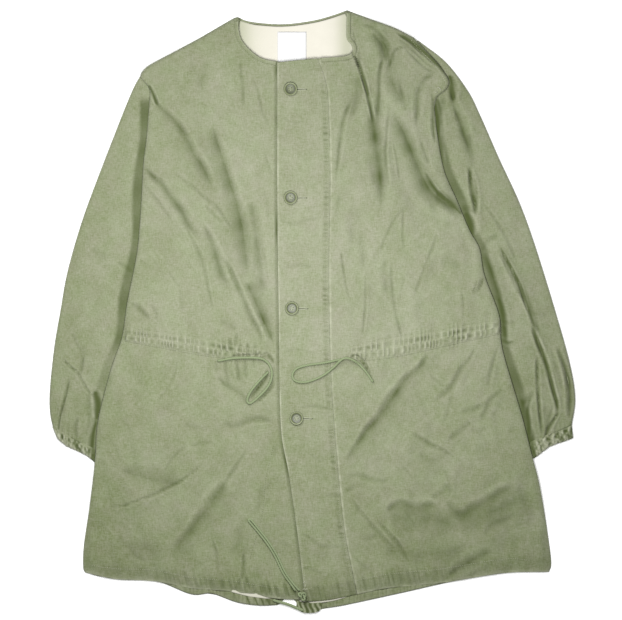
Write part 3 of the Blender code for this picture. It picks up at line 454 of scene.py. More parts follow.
def alongLine(points, t):
    # points at the shares t of the length of the smooth curve through the given ones
    knots = np.array(points, float)
    padded = np.vstack([2 * knots[0] - knots[1], knots, 2 * knots[-1] - knots[-2]])
    s = np.linspace(0, 1, 11)[1:, None]
    dense = [knots[:1]]
    for a, b, c, d in zip(padded, padded[1:], padded[2:], padded[3:]):
        bend = (2 * a - 5 * b + 4 * c - d) * s ** 2 + (3 * b - a - 3 * c + d) * s ** 3
        dense.append(b + 0.5 * ((c - a) * s + bend))
    dense = np.vstack(dense)
    run = np.append(0, np.cumsum(np.linalg.norm(np.diff(dense, axis=0), axis=1)))
    where = np.asarray(t) * run[-1]
    return np.stack([np.interp(where, run, dense[:, k]) for k in range(dense.shape[1])], axis=-1)


def pathLength(path):
    return float(np.linalg.norm(np.diff(path, axis=0), axis=1).sum())


def lineLength(points):
    return pathLength(alongLine(points, np.linspace(0, 1, 400)))


def chained(parts, t):
    # several lines end to end, each with its share of t
    ends = np.cumsum([0] + [share for _, share in parts]) / sum(share for _, share in parts)
    out = np.zeros(t.shape + (2,))
    for (points, _), low, high in zip(parts, ends, ends[1:]):
        inside = (t >= low) & (t <= high)
        out[inside] = alongLine(points, (t[inside] - low) / (high - low))
    return out


def patch(left, right, top, lower, u, v):
    # a grid of plan points between four edges, rows downwards
    u, v = u[None, :, None], v[:, None, None]
    corners = (1 - u) * (1 - v) * left[0] + u * (1 - v) * right[0]
    corners = corners + (1 - u) * v * left[-1] + u * v * right[-1]
    return (1 - u) * left[:, None] + u * right[:, None] + (1 - v) * top[None] + v * lower[None] - corners


def strip(top, lower, u, v):
    # a grid of plan points between two lines
    v = v[:, None, None]
    return (1 - v) * alongLine(top, u)[None] + v * alongLine(lower, u)[None]


def besideLine(points, u, offsets):
    # a strip beside a line, its rows at the given offsets to the left of its direction
    here = alongLine(points, u)
    ahead = np.gradient(here, axis=0)
    normal = np.stack([-ahead[:, 1], ahead[:, 0]], axis=-1) / np.linalg.norm(ahead, axis=1)[:, None]
    return here[None] + normal[None] * np.asarray(offsets)[:, None, None]


def moved(points, dx, dy=0.0):
    return [(x + dx, y + dy) for x, y in points]


def readOff(points, known):
    # one coordinate of a line from the known other one
    line = alongLine(points, np.linspace(0, 1, 300))
    order = np.argsort(line[:, known])
    return lambda value: np.interp(value, line[order, known], line[order, 1 - known])


def xOf(points):
    return readOff(points, 1)


def yOf(points):
    return readOff(points, 0)


sideRightX, sideLeftX = xOf(sideRight), xOf(armholeLeft + sideLeft[1:])
sleeveRightX, sleeveLeftX = xOf(sleeveRightInner), xOf(sleeveLeftInner)
shoulderRightY, shoulderLeftY = yOf(shoulderRight), yOf(shoulderLeft)
hemBackY = yOf(hemBackRight + hemBackLeft[1:])
hemRightY, hemLeftY = yOf(hemFrontRight), yOf(placketHem + hemFrontLeft[1:])
edgeX, seamX = xOf(placketEdge), xOf(placketSeam)
casingY = [
    (yOf(casingRightTop), yOf(casingRightLower), -280, -78),
    (yOf(casingLeftTop), yOf(casingLeftLower), 56, 281),
]


# heights
def lift(x, y):
    # how far the sleeves underneath raise the body
    right = smooth((sleeveRightX(y) + body["underReach"] - x) / body["underRamp"])
    left = smooth((x - sleeveLeftX(y) + body["underReach"]) / body["underRamp"])
    cuffEnd = np.where(x < 0, *body["cuffEnds"])
    fade = smooth((y - cuffEnd + 12.5 + body["cuffFade"]) / body["cuffFade"])
    return (sleeveThickness + 0.5) * np.maximum(right, left) * fade


def edgeAway(x, y):
    # about how far it is to the folded sides and the shoulders
    neckStart, neckEnd = body["neckEnds"]
    away = np.minimum(x - sideRightX(y), sideLeftX(y) - x)
    away = np.where(x < neckStart, np.minimum(away, 0.87 * (shoulderRightY(x) - y)), away)
    away = np.where(x > neckEnd, np.minimum(away, 0.93 * (shoulderLeftY(x) - y)), away)
    return np.maximum(away, 0)


def onPlacket(x, y, soft=24):
    return 1 - smooth((np.maximum(edgeX(y) - x, x - seamX(y)) - 2) / soft)


def pads(x, y):
    # what the layers beneath add at the neck and at the hem
    neck = body["neckPad"] * smooth((1.25 - np.hypot((x + 29) / 122, (y - 398) / 82)) / 0.4)
    return neck + body["hemPad"] * smooth((hemBackY(x) + 75 - y) / 25)


def plainTop(x, y):
    # the fronts without folds, rolled down at the folded sides, the shoulders and the hem
    away = edgeAway(x, y)
    radius = body["rollRadius"] + 7 * smooth((335 - y) / 40)
    full = 2 * wall + body["layerGap"] + body["loft"] + pads(x, y) * smooth(away / 14)
    lowerY = np.where(x < edgeX(y), hemRightY(x), hemLeftY(x))
    hemRoll = smooth((y - lowerY) / 26) ** 0.8
    low = body["hemLow"] + 0.8 * smooth((95 - np.abs(x + 35)) / 60)
    rimDrop = 1.1 * (1 - rounded((y - lowerY + hemRim) / (2.2 * hemRim)))
    full = low + (full - low) * hemRoll - rimDrop
    return lift(x, y) + 0.3 + (full - 0.3) * rounded(away / radius)


def alongAndAway(line, x, y):
    # the share along a line, and the signed distance from it, of the nearest point
    a, b = line[:-1], line[1:]
    run = b - a
    best = np.full(x.shape, 1e9)
    share, signed = np.zeros(x.shape), np.zeros(x.shape)
    for k in range(len(a)):
        px, py = x - a[k, 0], y - a[k, 1]
        t = np.clip((px * run[k, 0] + py * run[k, 1]) / (run[k] @ run[k]), 0, 1)
        away = np.hypot(px - t * run[k, 0], py - t * run[k, 1])
        nearer = away < best
        best = np.where(nearer, away, best)
        share = np.where(nearer, (k + t) / len(a), share)
        signed = np.where(nearer, np.sign(run[k, 0] * py - run[k, 1] * px) * away, signed)
    return share, signed


def creaseField(piece, x, y):
    # height of the folds, the painted shade in their troughs and the painted highlight on their crests
    height, dark, bright = np.zeros(x.shape), np.zeros(x.shape), np.zeros(x.shape)
    for number, crease in enumerate(creases):
        if crease.piece != piece:
            continue
        line = alongLine(crease.points, np.linspace(0, 1, 26))
        reach = 6 * crease.width
        near = (x > line[:, 0].min() - reach) & (x < line[:, 0].max() + reach)
        near &= (y > line[:, 1].min() - reach) & (y < line[:, 1].max() + reach)
        if not near.any():
            continue
        share, signed = alongAndAway(line, x[near], y[near])
        side = np.sign(signed)
        run = share * lineLength(crease.points)
        uneven = 1 + 0.2 * np.sin(run / 11 + number * 2.1) + 0.12 * np.sin(run / 4.7 + number)
        swell = 0.6 + 0.6 * np.sin(math.pi * np.clip(share, 0, 1)) ** 0.7 + 0.15 * np.sin(run / 21 + number)
        q = np.abs(signed) / (crease.width * (1 - 0.45 * crease.lean * side) * swell)
        fade = smooth(share / 0.12 + 0.1) * smooth((1 - share) / 0.18) * uneven
        # painted shade: a sharp core in the trough and a broad band to one side; painted highlight on the
        # crests beside it
        trough = 0.6 * np.exp(-q ** 1.6) + 0.4 * bell(q, 0.45)
        ridge = bell(q - 2.0, 0.8) * (1 + 0.5 * crease.lean * side + 0.3 * side * math.sin(number * 1.7))
        broad = bell(q, 2.9) * (1 - 0.8 * side * (crease.lean or math.sin(number * 2.3)))
        much = 0.25 + 0.3 * float(smooth((crease.width - 2.5) / 3))
        strength = crease.depth / 4.1 * fade
        height[near] += 0.75 * min(crease.depth, 4) * fade * (0.4 * ridge - trough)
        dark[near] += strength * ((1.15 - much * 0.6) * trough + much * broad)
        bright[near] += strength * ridge
    return height, dark, bright


def ripples(x, y, seed, height, low=28, high=75):
    # slow uneven waves of washed cloth
    rng = np.random.default_rng(seed)
    total = np.zeros(x.shape)
    for _ in range(14):
        turn, size, phase = rng.normal(0, 0.55), rng.uniform(low, high), rng.uniform(0, tau)
        drift = rng.uniform(60, 160)
        bend = 9 * np.sin(y / drift + phase * 3)
        total += np.sin((np.cos(turn) * x + np.sin(turn) * y + bend) / size * tau + phase)
    return height * total / 3.7


def shifted(s, pitch, seed, first, second):
    # the way along a row of gathers, made uneven
    return s + pitch * (first * np.sin(s / pitch * 1.3 + seed) + second * np.sin(s / pitch * 0.57 + seed * 2))


def pleatParts(s, away, pitch, reach, seed):
    s = shifted(s, pitch, seed, 0.35, 0.25)
    uneven = 0.35 + 0.65 * np.sin(np.floor(s / pitch) * 12.9898 + seed * 7) ** 2
    crest = np.abs(np.sin(math.pi * s / pitch)) ** 0.8
    return crest * uneven, np.exp(-np.maximum(away, 0) / (reach * (0.4 + uneven)))


def pleats(s, away, pitch, height, reach, seed):
    # gathers across a seam: round crests between sharp troughs, uneven in place, height and length
    crest, fade = pleatParts(s, away, pitch, reach, seed)
    return height * crest * fade


def pleatShade(s, away, pitch, reach, seed):
    crest, fade = pleatParts(s, away, pitch, reach, seed)
    # painted shade in the troughs between the crests, fading away from the seam
    return np.clip(1 - 1.9 * crest, 0, 1) * fade


def ruche(s, pitch, width, seed):
    # narrow uneven ridges with wider hollows between them
    s = shifted(s, pitch, seed, 0.3, 0.22)
    s = s + pitch * 0.7 * np.sin(s / pitch * 0.31 + seed * 3)
    cell = np.round(s / pitch)
    uneven = 0.3 + 0.7 * np.sin(cell * 12.9898 + seed * 7) ** 2
    ridge = np.exp(-(np.abs(s / pitch - cell) * pitch / width) ** 1.6)
    return ridge * uneven, ridge, uneven


waist = {"pitch": 8.2, "ridge": 1.9, "height": 2.2, "reach": 6.5, "shade": 0.62, "crestWearAndHighlight": 0.4, "seed": 3}


def waistGathers(x, y):
    # height, painted shade in the hollows, and wear with painted highlight on the crests, of the gathers that
    # run out of the waist casings
    height, dark, wearAndHighlight = np.zeros(x.shape), np.zeros(x.shape), np.zeros(x.shape)
    for number, (topY, lowY, start, end) in enumerate(casingY):
        inside = smooth((x - start) / 10) * smooth((end - x) / 10)
        away = np.maximum(np.maximum(y - topY(x), lowY(x) - y), 0)
        fold, ridge, uneven = ruche(x, waist["pitch"], waist["ridge"], waist["seed"] + number)
        fade = inside * np.exp(-(away / (waist["reach"] * (0.4 + uneven))) ** 1.4)
        height += waist["height"] * fold * fade * (0.15 + 0.85 * smooth((away - 1) / 5))
        dark += waist["shade"] * (1 - ridge) * (0.35 + uneven) * inside * bell(away, 4.6)
        wearAndHighlight += waist["crestWearAndHighlight"] * fold * fade
    return height, dark, wearAndHighlight


hemTuck = {"depths": (15, 20), "coarse": (9.5, 1.3, 5, 9), "fine": (5.1, 0.5, 3, 8), "slant": 0.25}


def hemDepth(x):
    return np.where(x < 0, *hemTuck["depths"]) * (0.7 + 0.3 * smooth((350 - np.abs(x)) / 60))


def hemGathers(x, y, lowerY):
    # puckers within the hem and just above its stitches, tightest towards the tie
    away = y - lowerY(x) - hemDepth(x)
    much = 0.35 + 0.9 * smooth((260 - np.abs(x + 20)) / 120)
    shown = much * smooth((350 - np.abs(x)) / 40)
    slanted = x + hemTuck["slant"] * (y + 430)
    tucks = pleats(slanted, away, *hemTuck["coarse"]) + pleats(slanted, away, *hemTuck["fine"])
    # painted shade in the puckers' troughs, along the stitches and along the hem's edge
    dark = shown * (0.5 * pleatShade(slanted, away, 9.5, 5, 9) + 0.22 * pleatShade(slanted, away, 5.1, 4, 8))
    dark += 0.25 * bell(away, 1.5) * (0.7 + 0.3 * np.sin(x / 5.3))
    dark += 0.2 * much * np.exp(-(y - lowerY(x)) / 2.2) * (0.5 + 0.5 * np.sin(x / 4.1 + 2 * np.sin(x / 17)))
    return shown * smooth((y - lowerY(x)) / 9 + 0.1) * tucks, dark


seamTuck = {"pitch": 7.2, "seed": 5}


def frontTop(x, y):
    # upper face of the fronts with all their folds: height, painted shade, and painted highlight with wear
    away = edgeAway(x, y)
    height, dark, bright = creaseField("body", x, y)
    waistHeight, waistDark, waistWearAndHighlight = waistGathers(x, y)
    hemHeight, hemDark = hemGathers(x, y, hemRightY if x.mean() < 20 else hemLeftY)
    fromSeam = x - seamX(y)
    puckers = pleats(y, np.abs(fromSeam), seamTuck["pitch"], 0.5, 5, seamTuck["seed"]) * (fromSeam > -1)
    waves = ripples(x, y, 11, 0.9, 30, 80) + ripples(x, y, 12, 0.3, 12, 26)
    gathers = (waistHeight + hemHeight) * (1 - onPlacket(x, y, 8)) + puckers
    free = (1 - onPlacket(x, y)) * smooth(away / 16)
    full = plainTop(x, y) + (height + waves) * free + gathers * smooth(away / 10)
    full = np.where(away > 8, np.maximum(full, lift(x, y) + 2 * wall + 0.3), full)
    bare = 1 - onPlacket(x, y, 10)
    return full, (dark + waistDark + hemDark) * bare, (bright + 5 * waistWearAndHighlight) * bare


def frontSurface(x, y):
    return frontTop(x, y)[0]


def placketHeight(x, y):
    across = (x - edgeX(y)) / (seamX(y) - edgeX(y))
    rise = placketRise - 0.9 * smooth((across - 0.45) / 0.55)
    toSeam = seamX(y) - x
    puckers = pleats(y, toSeam - 8, seamTuck["pitch"], 0.55, 3.5, seamTuck["seed"]) * smooth((toSeam - 1) / 2)
    edge = 0.25 + 0.75 * rounded((x - edgeX(y)) / 2.2)
    return plainTop(x, y) + (rise + 0.35 * ripples(x, y, 21, 0.6, 20, 60)) * edge + puckers


def backSurface(x, y):
    return lift(x, y) + 1.15


# materials
class Wire:
    # an output of a shader node; sums and products of wires make Math nodes
    def __init__(self, tree, socket=None):
        self.tree, self.socket = tree, socket

    def node(self, kind, settings=None, out=0, **inputs):
        made = self.tree.nodes.new("ShaderNode" + kind)
        for key, value in (settings or {}).items():
            setattr(made, key, value)
        for key, value in inputs.items():
            spot = int(key[1:]) if key[0] == "i" and key[1:].isdigit() else key.replace("_", " ")
            if isinstance(value, Wire):
                self.tree.links.new(value.socket, made.inputs[spot])
            else:
                made.inputs[spot].default_value = value
        return Wire(self.tree, made.outputs[out])

    def maths(self, operation, *others):
        wires = {f"i{k}": value for k, value in enumerate((self,) + others)}
        return self.node("Math", {"operation": operation}, **wires)

    def other(self, output):
        return Wire(self.tree, self.socket.node.outputs[output])

    def __add__(self, other):
        return self.maths("ADD", other)

    def __mul__(self, other):
        return self.maths("MULTIPLY", other)

    def __sub__(self, other):
        return self.maths("SUBTRACT", other)

    def __rsub__(self, other):
        return (self * -1.0) + other

    __radd__ = __add__
    __rmul__ = __mul__

    def held(self, low=0.0, high=1.0):
        return self.node("Clamp", Value=self, Min=low, Max=high)

    def mix(self, a, b, blend="MIX"):
        # colours a to b by this factor
        return self.node("Mix", {"data_type": "RGBA", "blend_type": blend}, 2, i0=self, i6=a, i7=b)


def colour(r, g, b):
    # a linear colour from its sRGB parts
    return tuple(c / 12.92 if c <= 0.04045 else ((c + 0.055) / 1.055) ** 2.4 for c in (r, g, b)) + (1.0,)


def newMaterial(name):
    made = bpy.data.materials.new(name)
    made.use_nodes = True
    made.node_tree.nodes.clear()
    tree = made.node_tree
    shader = tree.nodes.new("ShaderNodeBsdfPrincipled")
    out = tree.nodes.new("ShaderNodeOutputMaterial")
    tree.links.new(shader.outputs[0], out.inputs[0])

    def finish(base, normal, **constants):
        tree.links.new(base.socket, shader.inputs["Base Color"])
        tree.links.new(normal.socket, shader.inputs["Normal"])
        for key, value in constants.items():
            shader.inputs[key.replace("_", " ")].default_value = value
        return made

    return Wire(tree), finish


def clothMaterial(name, dyeAndShadeColours, speck=1.0, thread=0.6, paintedFalloffAndHue=1.0):
    # washed cotton: mottled dye, slubby weave, worn edges, painted shade in the folds, painted shadow under
    # the layers above, painted highlights on crests, and a painted light falloff away from the top middle
    deep, pale, wearAndHighlight, shade = [colour(*dyeAndShadeColours[part]) for part in ("deep", "pale", "wearAndHighlight", "shade")]
    start, finish = newMaterial(name)
    place = start.node("TexCoord", out=3)
    form = start.node("Attribute", {"attribute_name": "form"})
    dark = form.node("SeparateColor", i0=form)
    rubbedAndHighlit, shadow = dark.other(1), dark.other(2)

    def noise(scale, detail=2.0, stretch=(1, 1, 1)):
        spot = start.node("Mapping", Vector=place, Scale=stretch)
        return start.node("TexNoise", Vector=spot, Scale=scale, Detail=detail, Roughness=0.6) - 0.5

    clouds = noise(11.0)
    mottle = noise(60.0, 4.0)
    warp = noise(210.0, 2.0, (4.0, 0.6, 1))
    weft = noise(210.0, 2.0, (0.6, 4.0, 1))
    grain = noise(520.0, 2.0)
    # painted light falloff: paler near a spot at the top middle of the coat, darker away from it
    middle = place.node("VectorMath", {"operation": "DISTANCE"}, 1, i0=place, i1=(0.02, 0.1, 0))
    paintedLightFalloff = 0.7 - (middle - 0.08).held() * paintedFalloffAndHue * 0.82
    hue = (noise(38.0, 1.0) * 1.2 * paintedFalloffAndHue + 0.5).held().mix((0.965, 1.02, 0.94, 1), (1.035, 0.98, 1.06, 1))
    tone = paintedLightFalloff + clouds * 0.6 + mottle * 0.5 + (warp + weft) * speck * 0.85 + grain * speck * 0.7
    base = tone.held().mix(deep, pale)
    base = base.node("Mix", {"data_type": "RGBA", "blend_type": "MULTIPLY"}, 2, i0=1.0, i6=base, i7=hue)
    # painted shade in the folds from red, painted shadow from blue, then wear and painted highlight from
    # green
    base = (dark * (0.62 + mottle * 0.3)).held(0, 0.96).mix(base, shade)
    base = (shadow * 0.8).held(0, 0.96).mix(base, shade)
    base = (rubbedAndHighlit * (0.75 + mottle * 1.6 + weft)).held().mix(base, wearAndHighlight)
    height = warp * 0.4 + weft * 0.4 + grain * 0.25 + mottle * 0.9
    normal = start.node("Bump", Strength=thread, Distance=0.0009, Height=height)
    return finish(base, normal, Roughness=0.92, Sheen_Weight=0.12, Specular_IOR_Level=0.2)


def plainMaterial(name, base, roughness, bump=0.0, scale=400.0, **more):
    # one colour, slightly uneven, painted down to about a third of it where the form attribute marks painted
    # shade
    start, finish = newMaterial(name)
    uneven, dark = [tuple(c * share for c in base[:3]) + (1.0,) for share in (0.86, 0.34)]
    place = start.node("TexCoord", out=3)
    noise = start.node("TexNoise", Vector=place, Scale=scale, Detail=2.0)
    shade = ((noise - 0.5) * 0.5 + 0.5).held().mix(uneven, base)
    form = start.node("Attribute", {"attribute_name": "form"})
    shade = form.node("SeparateColor", i0=form).held().mix(shade, dark)
    normal = start.node("Bump", Strength=bump, Distance=0.0004, Height=noise)
    return finish(shade, normal, Roughness=roughness, **more)


# the lightest colour serves for wear and painted highlights, the shade colour for painted shade and shadow
olive = {
    "deep": (0.43, 0.465, 0.312), "pale": (0.6, 0.612, 0.525),
    "wearAndHighlight": (0.67, 0.68, 0.59), "shade": (0.275, 0.315, 0.155),
}
cream = {
    "deep": (0.82, 0.805, 0.755), "pale": (0.87, 0.855, 0.805),
    "wearAndHighlight": (0.89, 0.88, 0.84), "shade": (0.63, 0.65, 0.53),
}
cloth = clothMaterial("cloth", olive)
insideCloth = clothMaterial("inside", cream, 0.3, 0.3, 0.0)
labelCloth = plainMaterial("label", colour(0.9, 0.9, 0.9), 0.7, 0.2)
horn = plainMaterial("button", colour(0.49, 0.52, 0.375), 0.36, 0.05, 300.0, Specular_IOR_Level=0.4)
cordCloth = plainMaterial("cord", colour(0.53, 0.58, 0.435), 0.85, 0.6, 500.0)
thread = plainMaterial("thread", colour(0.7, 0.71, 0.62), 0.8)
# dark thread for the hidden stitch row, and as painted shade in the buttonhole slits
darkThreadAndSlitShade = plainMaterial("dark_thread_and_slit_shade", colour(0.3, 0.33, 0.22), 0.8)
glow = {"Emission_Color": (1, 1, 1, 1), "Emission_Strength": 0.35}
floorPaint = plainMaterial("floor", colour(0.97, 0.97, 0.97), 0.9, **glow)
print("materials made")


# meshes
def added(name, data):
    made = bpy.data.objects.new(name, data)
    bpy.context.scene.collection.objects.link(made)
    return made


def meshObject(name, points, faces, material, form=None, soft=True):
    mesh = bpy.data.meshes.new(name)
    mesh.from_pydata((np.asarray(points) * mm).tolist(), [], faces)
    if soft:
        mesh.shade_smooth()
    mesh.materials.append(material)
    if form is not None:
        layer = mesh.color_attributes.new("form", "FLOAT_COLOR", "POINT")
        rgba = np.concatenate([form, np.ones((len(form), 1))], axis=1)
        layer.data.foreach_set("color", rgba.astype(np.float32).ravel())
    return added(name, mesh)


def gridFaces(rows, columns, ring=False):
    i, j = np.meshgrid(np.arange(rows - 1), np.arange(columns if ring else columns - 1), indexing="ij")
    i, j = i.ravel() * columns, j.ravel()
    k = (j + 1) % columns
    return np.stack([i + j, i + columns + j, i + columns + k, i + k], axis=1)


def shell(name, upper, thickness, form, material, ring=False, lower=None):
    # a closed thin shell: the given upper face, a lower face with half its rows and columns, a rim between
    rows, columns = upper.shape[:2]
    if lower is None:
        around = np.concatenate([upper[:, -1:], upper, upper[:, :1]], axis=1) if ring else upper
        across = np.gradient(around, axis=1)
        normal = np.cross(np.gradient(upper, axis=0), across[:, 1:-1] if ring else across)
        normal /= np.maximum(np.linalg.norm(normal, axis=2), 1e-9)[..., None]
        lower = upper - normal * thickness
    lower, lowForm = lower[::2, ::2], form[::2, ::2]
    count, lowRows, lowColumns = rows * columns, lower.shape[0], lower.shape[1]
    points = np.concatenate([upper.reshape(-1, 3), lower.reshape(-1, 3)])
    points[:, 2] = np.maximum(points[:, 2], 0)  # nothing reaches below the table
    faces = gridFaces(rows, columns, ring).tolist()
    faces += (gridFaces(lowRows, lowColumns, ring)[:, ::-1] + count).tolist()

    def rim(fine, coarse, turned):
        for k in range(len(coarse) - 1):
            face = [fine[2 * k], fine[2 * k + 1], fine[2 * k + 2], coarse[k + 1] + count, coarse[k] + count]
            faces.append(face[::-1] if turned else face)

    for row, lowRow, turned in ((0, 0, False), (rows - 1, lowRows - 1, True)):
        fine = list(range(row * columns, (row + 1) * columns))
        coarse = list(range(lowRow * lowColumns, (lowRow + 1) * lowColumns))
        rim(fine + fine[:ring], coarse + coarse[:ring], turned)
    if not ring:
        for column, lowColumn, turned in ((0, 0, True), (columns - 1, lowColumns - 1, False)):
            fine = list(range(column, count, columns))
            rim(fine, list(range(lowColumn, lowRows * lowColumns, lowColumns)), turned)
    form = np.concatenate([form.reshape(-1, 3), lowForm.reshape(-1, 3)])
    return meshObject(name, points, faces, material, form)


def sheetShell(name, x, y, height, form, thickness=0.9, material=cloth):
    return shell(name, np.dstack([x, y, height]), thickness, form, material)


def formOf(dark, bright=0.0, wearAndHighlight=0.0, shadow=0.0):
    # red: painted shade, green: wear and painted highlight, blue: painted shadow
    red, green = np.clip(dark - 0.2 * bright, 0, 1.5), np.clip(wearAndHighlight + 0.14 * bright, 0, 1)
    parts = (red, green, np.clip(shadow, 0, 1.2))
    return np.stack([np.broadcast_to(part, np.shape(dark)) for part in parts], axis=-1)


def ready(piece, slotName, *nodes):
    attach(piece, "root")
    if nodes:
        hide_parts(*nodes)
    return piece


# camera: from straight above, as in the photo
view = {"width": 0.933, "height": 2.6, "middle": (-0.00225, 0.0025)}
lens = bpy.data.cameras.new("camera")
lens.type = "ORTHO"
lens.ortho_scale = view["width"]
camera = added("camera", lens)
camera.location = (*view["middle"], view["height"])
bpy.context.scene.camera = camera


# drawcords: two strands twisted together
def cordMesh(name, path, radius, pitch=7.0, sides=12):
    length = pathLength(path)
    rings = int(length / 0.9)
    run = np.append(0, np.cumsum(np.linalg.norm(np.diff(path, axis=0), axis=1)))
    s = np.linspace(0, length, rings)
    centre = np.stack([np.interp(s, run, path[:, k]) for k in range(3)], axis=-1)
    ahead = np.gradient(centre, axis=0)
    ahead /= np.linalg.norm(ahead, axis=1)[:, None]
    side = np.cross(ahead, (0, 0, 1))
    side /= np.linalg.norm(side, axis=1)[:, None]
    up = np.cross(side, ahead)
    angle = np.arange(sides) * tau / sides
    twist = s[:, None] / pitch * tau
    ends = np.sqrt(np.clip(np.minimum(s, length - s) / radius, 0.08, 1))[:, None]
    strands = 0.1 * np.cos(2 * (angle[None] - twist))
    r = radius * ends * (0.93 + strands + 0.04 * np.cos(7 * angle[None] + twist * 3))
    points = centre[:, None] + side[:, None] * (r * np.cos(angle))[..., None]
    points = points + up[:, None] * (r * np.sin(angle))[..., None]
    count = rings * sides
    points = np.concatenate([points.reshape(-1, 3), centre[:1], centre[-1:]])
    faces = gridFaces(rings, sides, True).tolist()
    faces += [(k, (k + 1) % sides, count) for k in range(sides)]
    faces += [((k + 1) % sides + count - sides, k + count - sides, count + 1) for k in range(sides)]
    return meshObject(name, points, faces, cordCloth), centre


def clothHeight(x, y):
    # the highest cloth under a cord
    height = frontSurface(x, y)
    on = (x > edgeX(y) - 4) & (x < seamX(y) + 3)
    height = np.where(on, np.maximum(height, plainTop(x, y) + placketRise + 0.3), height)
    for topY, lowY, start, end in casingY:
        inside = (x > start - 3) & (x < end + 3) & (y < topY(x) + 3) & (y > lowY(x) - 3)
        height = np.where(inside, height + 2.4, height)
    return height


def layCord(route, radius):
    # seats a route on the cloth: each point rests on the highest cloth within 4 mm of it
    line = alongLine(route, np.linspace(0, 1, 160))
    around = [(0, 0)] + [(4 * math.cos(a), 4 * math.sin(a)) for a in np.arange(6) * tau / 6]
    rest = np.max([clothHeight(line[:, 0] + dx, line[:, 1] + dy) for dx, dy in around], axis=0)
    kernel = np.hanning(9) / np.hanning(9).sum()
    rest = np.convolve(np.pad(rest, 4, mode="edge"), kernel, "valid")
    return np.column_stack([line[:, :2], rest + radius + 0.1 + line[:, 2]])


# the cords' way on the cloth, and how far each point is raised over a strand beneath
waistCordRight = [
    (-143, -74, 0), (-132, -72, 0), (-121, -70, 0), (-101, -69, 0), (-83, -69.5, 0), (-73, -72, 0),
    (-65, -79, 0), (-61, -90, 0), (-62, -102, 0), (-68, -114, 0), (-78, -125, 0), (-88, -134, 0),
    (-94.5, -137.5, 0), (-98, -133, 0), (-94, -122, 0), (-86, -111, 0), (-77, -101, 0), (-70, -94, 2.0),
    (-66, -90, 4.4),
]
waistCordLeft = [
    (45, -71, 0), (36, -73, 0), (16, -77, 0), (-6, -80, 0), (-23, -85, 0), (-30, -94, 0), (-27, -103, 0),
    (-15, -106, 0), (0, -103, 0), (17, -95, 0), (31, -84, 1.0), (40, -75, 4.3), (48, -70, 4.5),
    (57, -71, 3.0), (69, -78, 0.6), (81, -91, 0), (91, -106, 0),
]
hemCord = [
    (-19, -419, 0), (-28, -409, 0), (-41, -391, 0), (-53, -366, 0), (-66, -345, 0), (-81, -326, 0),
    (-90, -315, 0), (-94, -311.5, 0), (-95.5, -314, 0), (-83.7, -328.1, 0), (-68.8, -346.9, 0),
    (-56, -367.6, 0), (-43.9, -392.7, 0), (-30.7, -411.1, 0), (-25, -419, 0),
]
cordSettings = [
    ("waist_cord_right", waistCordRight, 2.0, "bare"),
    ("waist_cord_left", waistCordLeft, 1.9, "bare"),
    ("hem_cord", hemCord, 1.7, "object"),
]
for name, route, radius, farEnd in cordSettings:
    piece, centre = cordMesh(name + "_twisted", layCord(route, radius), radius)
    ready(piece, "cord", name)
print("cords laid")


# fronts
front = {"columns": 241, "rows": 295, "crowd": 1.1, "hemDraw": 2.8, "hemDrawPlace": -86, "edgeHollow": 1.6}
# where the painted shadow under the placket's edge is deeper: y, half length, amount
placketEdgeShadows = [(362, 9, 0.8), (290, 8, 0.4), (125, 22, 0.9), (-60, 30, 0.3), (-226, 22, 0.9), (-330, 14, 0.4)]


def hemFold(line, u):
    # the fold at the foot of a front, drawn up a little over the widest peep of the inside
    points = alongLine(line, u)
    x = points[:, 0]
    points[:, 1] += front["hemDraw"] * bell(x - front["hemDrawPlace"], 17) * (x < -20) - hemRim
    return points


def downRows(count):
    # shares of the way down, closer together in the fold at the hem
    return np.concatenate([np.linspace(0, 0.9955, count), [0.9963, 0.9971, 0.9979, 0.9987, 0.9994, 1.0]])


def frontGrid(left, right, top, lower, u):
    v = downRows(front["rows"])
    plan = patch(left(v), right(v), alongLine(top, u), hemFold(lower, u), u, v)
    x, y = plan[..., 0], plan[..., 1]
    return (x, y) + frontTop(x, y)


def frontWearAndHemHighlight(x, y, lowerY):
    # lighter along the hem's rolled rim, a painted highlight over its shading, and a little wear at the
    # folded sides
    return 0.55 * np.exp(-np.abs(y - lowerY(x)) / 2.5) + 0.12 * np.exp(-edgeAway(x, y) / 5)


def makeFrontRight():
    under = [neckRight[-1], (-8, 374)]
    hidden = moved(placketEdge[:-1], 45) + [hemFrontRight[-1]]
    x, y, height, dark, bright = frontGrid(
        lambda v: alongLine(sideRight, v),
        lambda v: chained([(neckRight, 4), (under, 2), (hidden, 26)], v),
        shoulderRight, hemFrontRight, np.linspace(0, 1, front["columns"]) ** front["crowd"],
    )
    below = smooth((x - edgeX(y) + 5.5) / 4.5)
    # painted shadow on the right front along the placket's edge, deeper at the listed places
    placketShadow = 0.5 + sum(more * bell(y - place, half) for place, half, more in placketEdgeShadows)
    form = formOf(dark + placketShadow * below * (x < edgeX(y) + 3), bright, frontWearAndHemHighlight(x, y, hemRightY))
    return sheetShell("front_right_cloth", x, y, height - front["edgeHollow"] * below, form)


def makeFrontLeft():
    x, y, height, dark, bright = frontGrid(
        lambda v: chained([(neckLeft, 5), (moved(placketSeam, -2.5), 27)], v),
        lambda v: chained([(armholeLeft, 5), (sideLeft, 27)], v),
        shoulderLeft, hemFrontLeft, 1 - (1 - np.linspace(0, 1, front["columns"])) ** front["crowd"],
    )
    streaks = 0.55 + 0.25 * np.sin(y / 3.1) + 0.25 * np.sin(y / 41 + 2)
    wearAndHighlight = frontWearAndHemHighlight(x, y, hemLeftY) + bell(x - seamX(y) - 1.3, 1.3) * (y < 378) * streaks
    return sheetShell("front_left_cloth", x, y, height, formOf(dark, bright, wearAndHighlight))


placket = {"columns": 61, "rows": 495, "crowd": 1.3, "ladderPitch": 6.8, "ladderWidth": 1.5, "ladderSeed": 9}


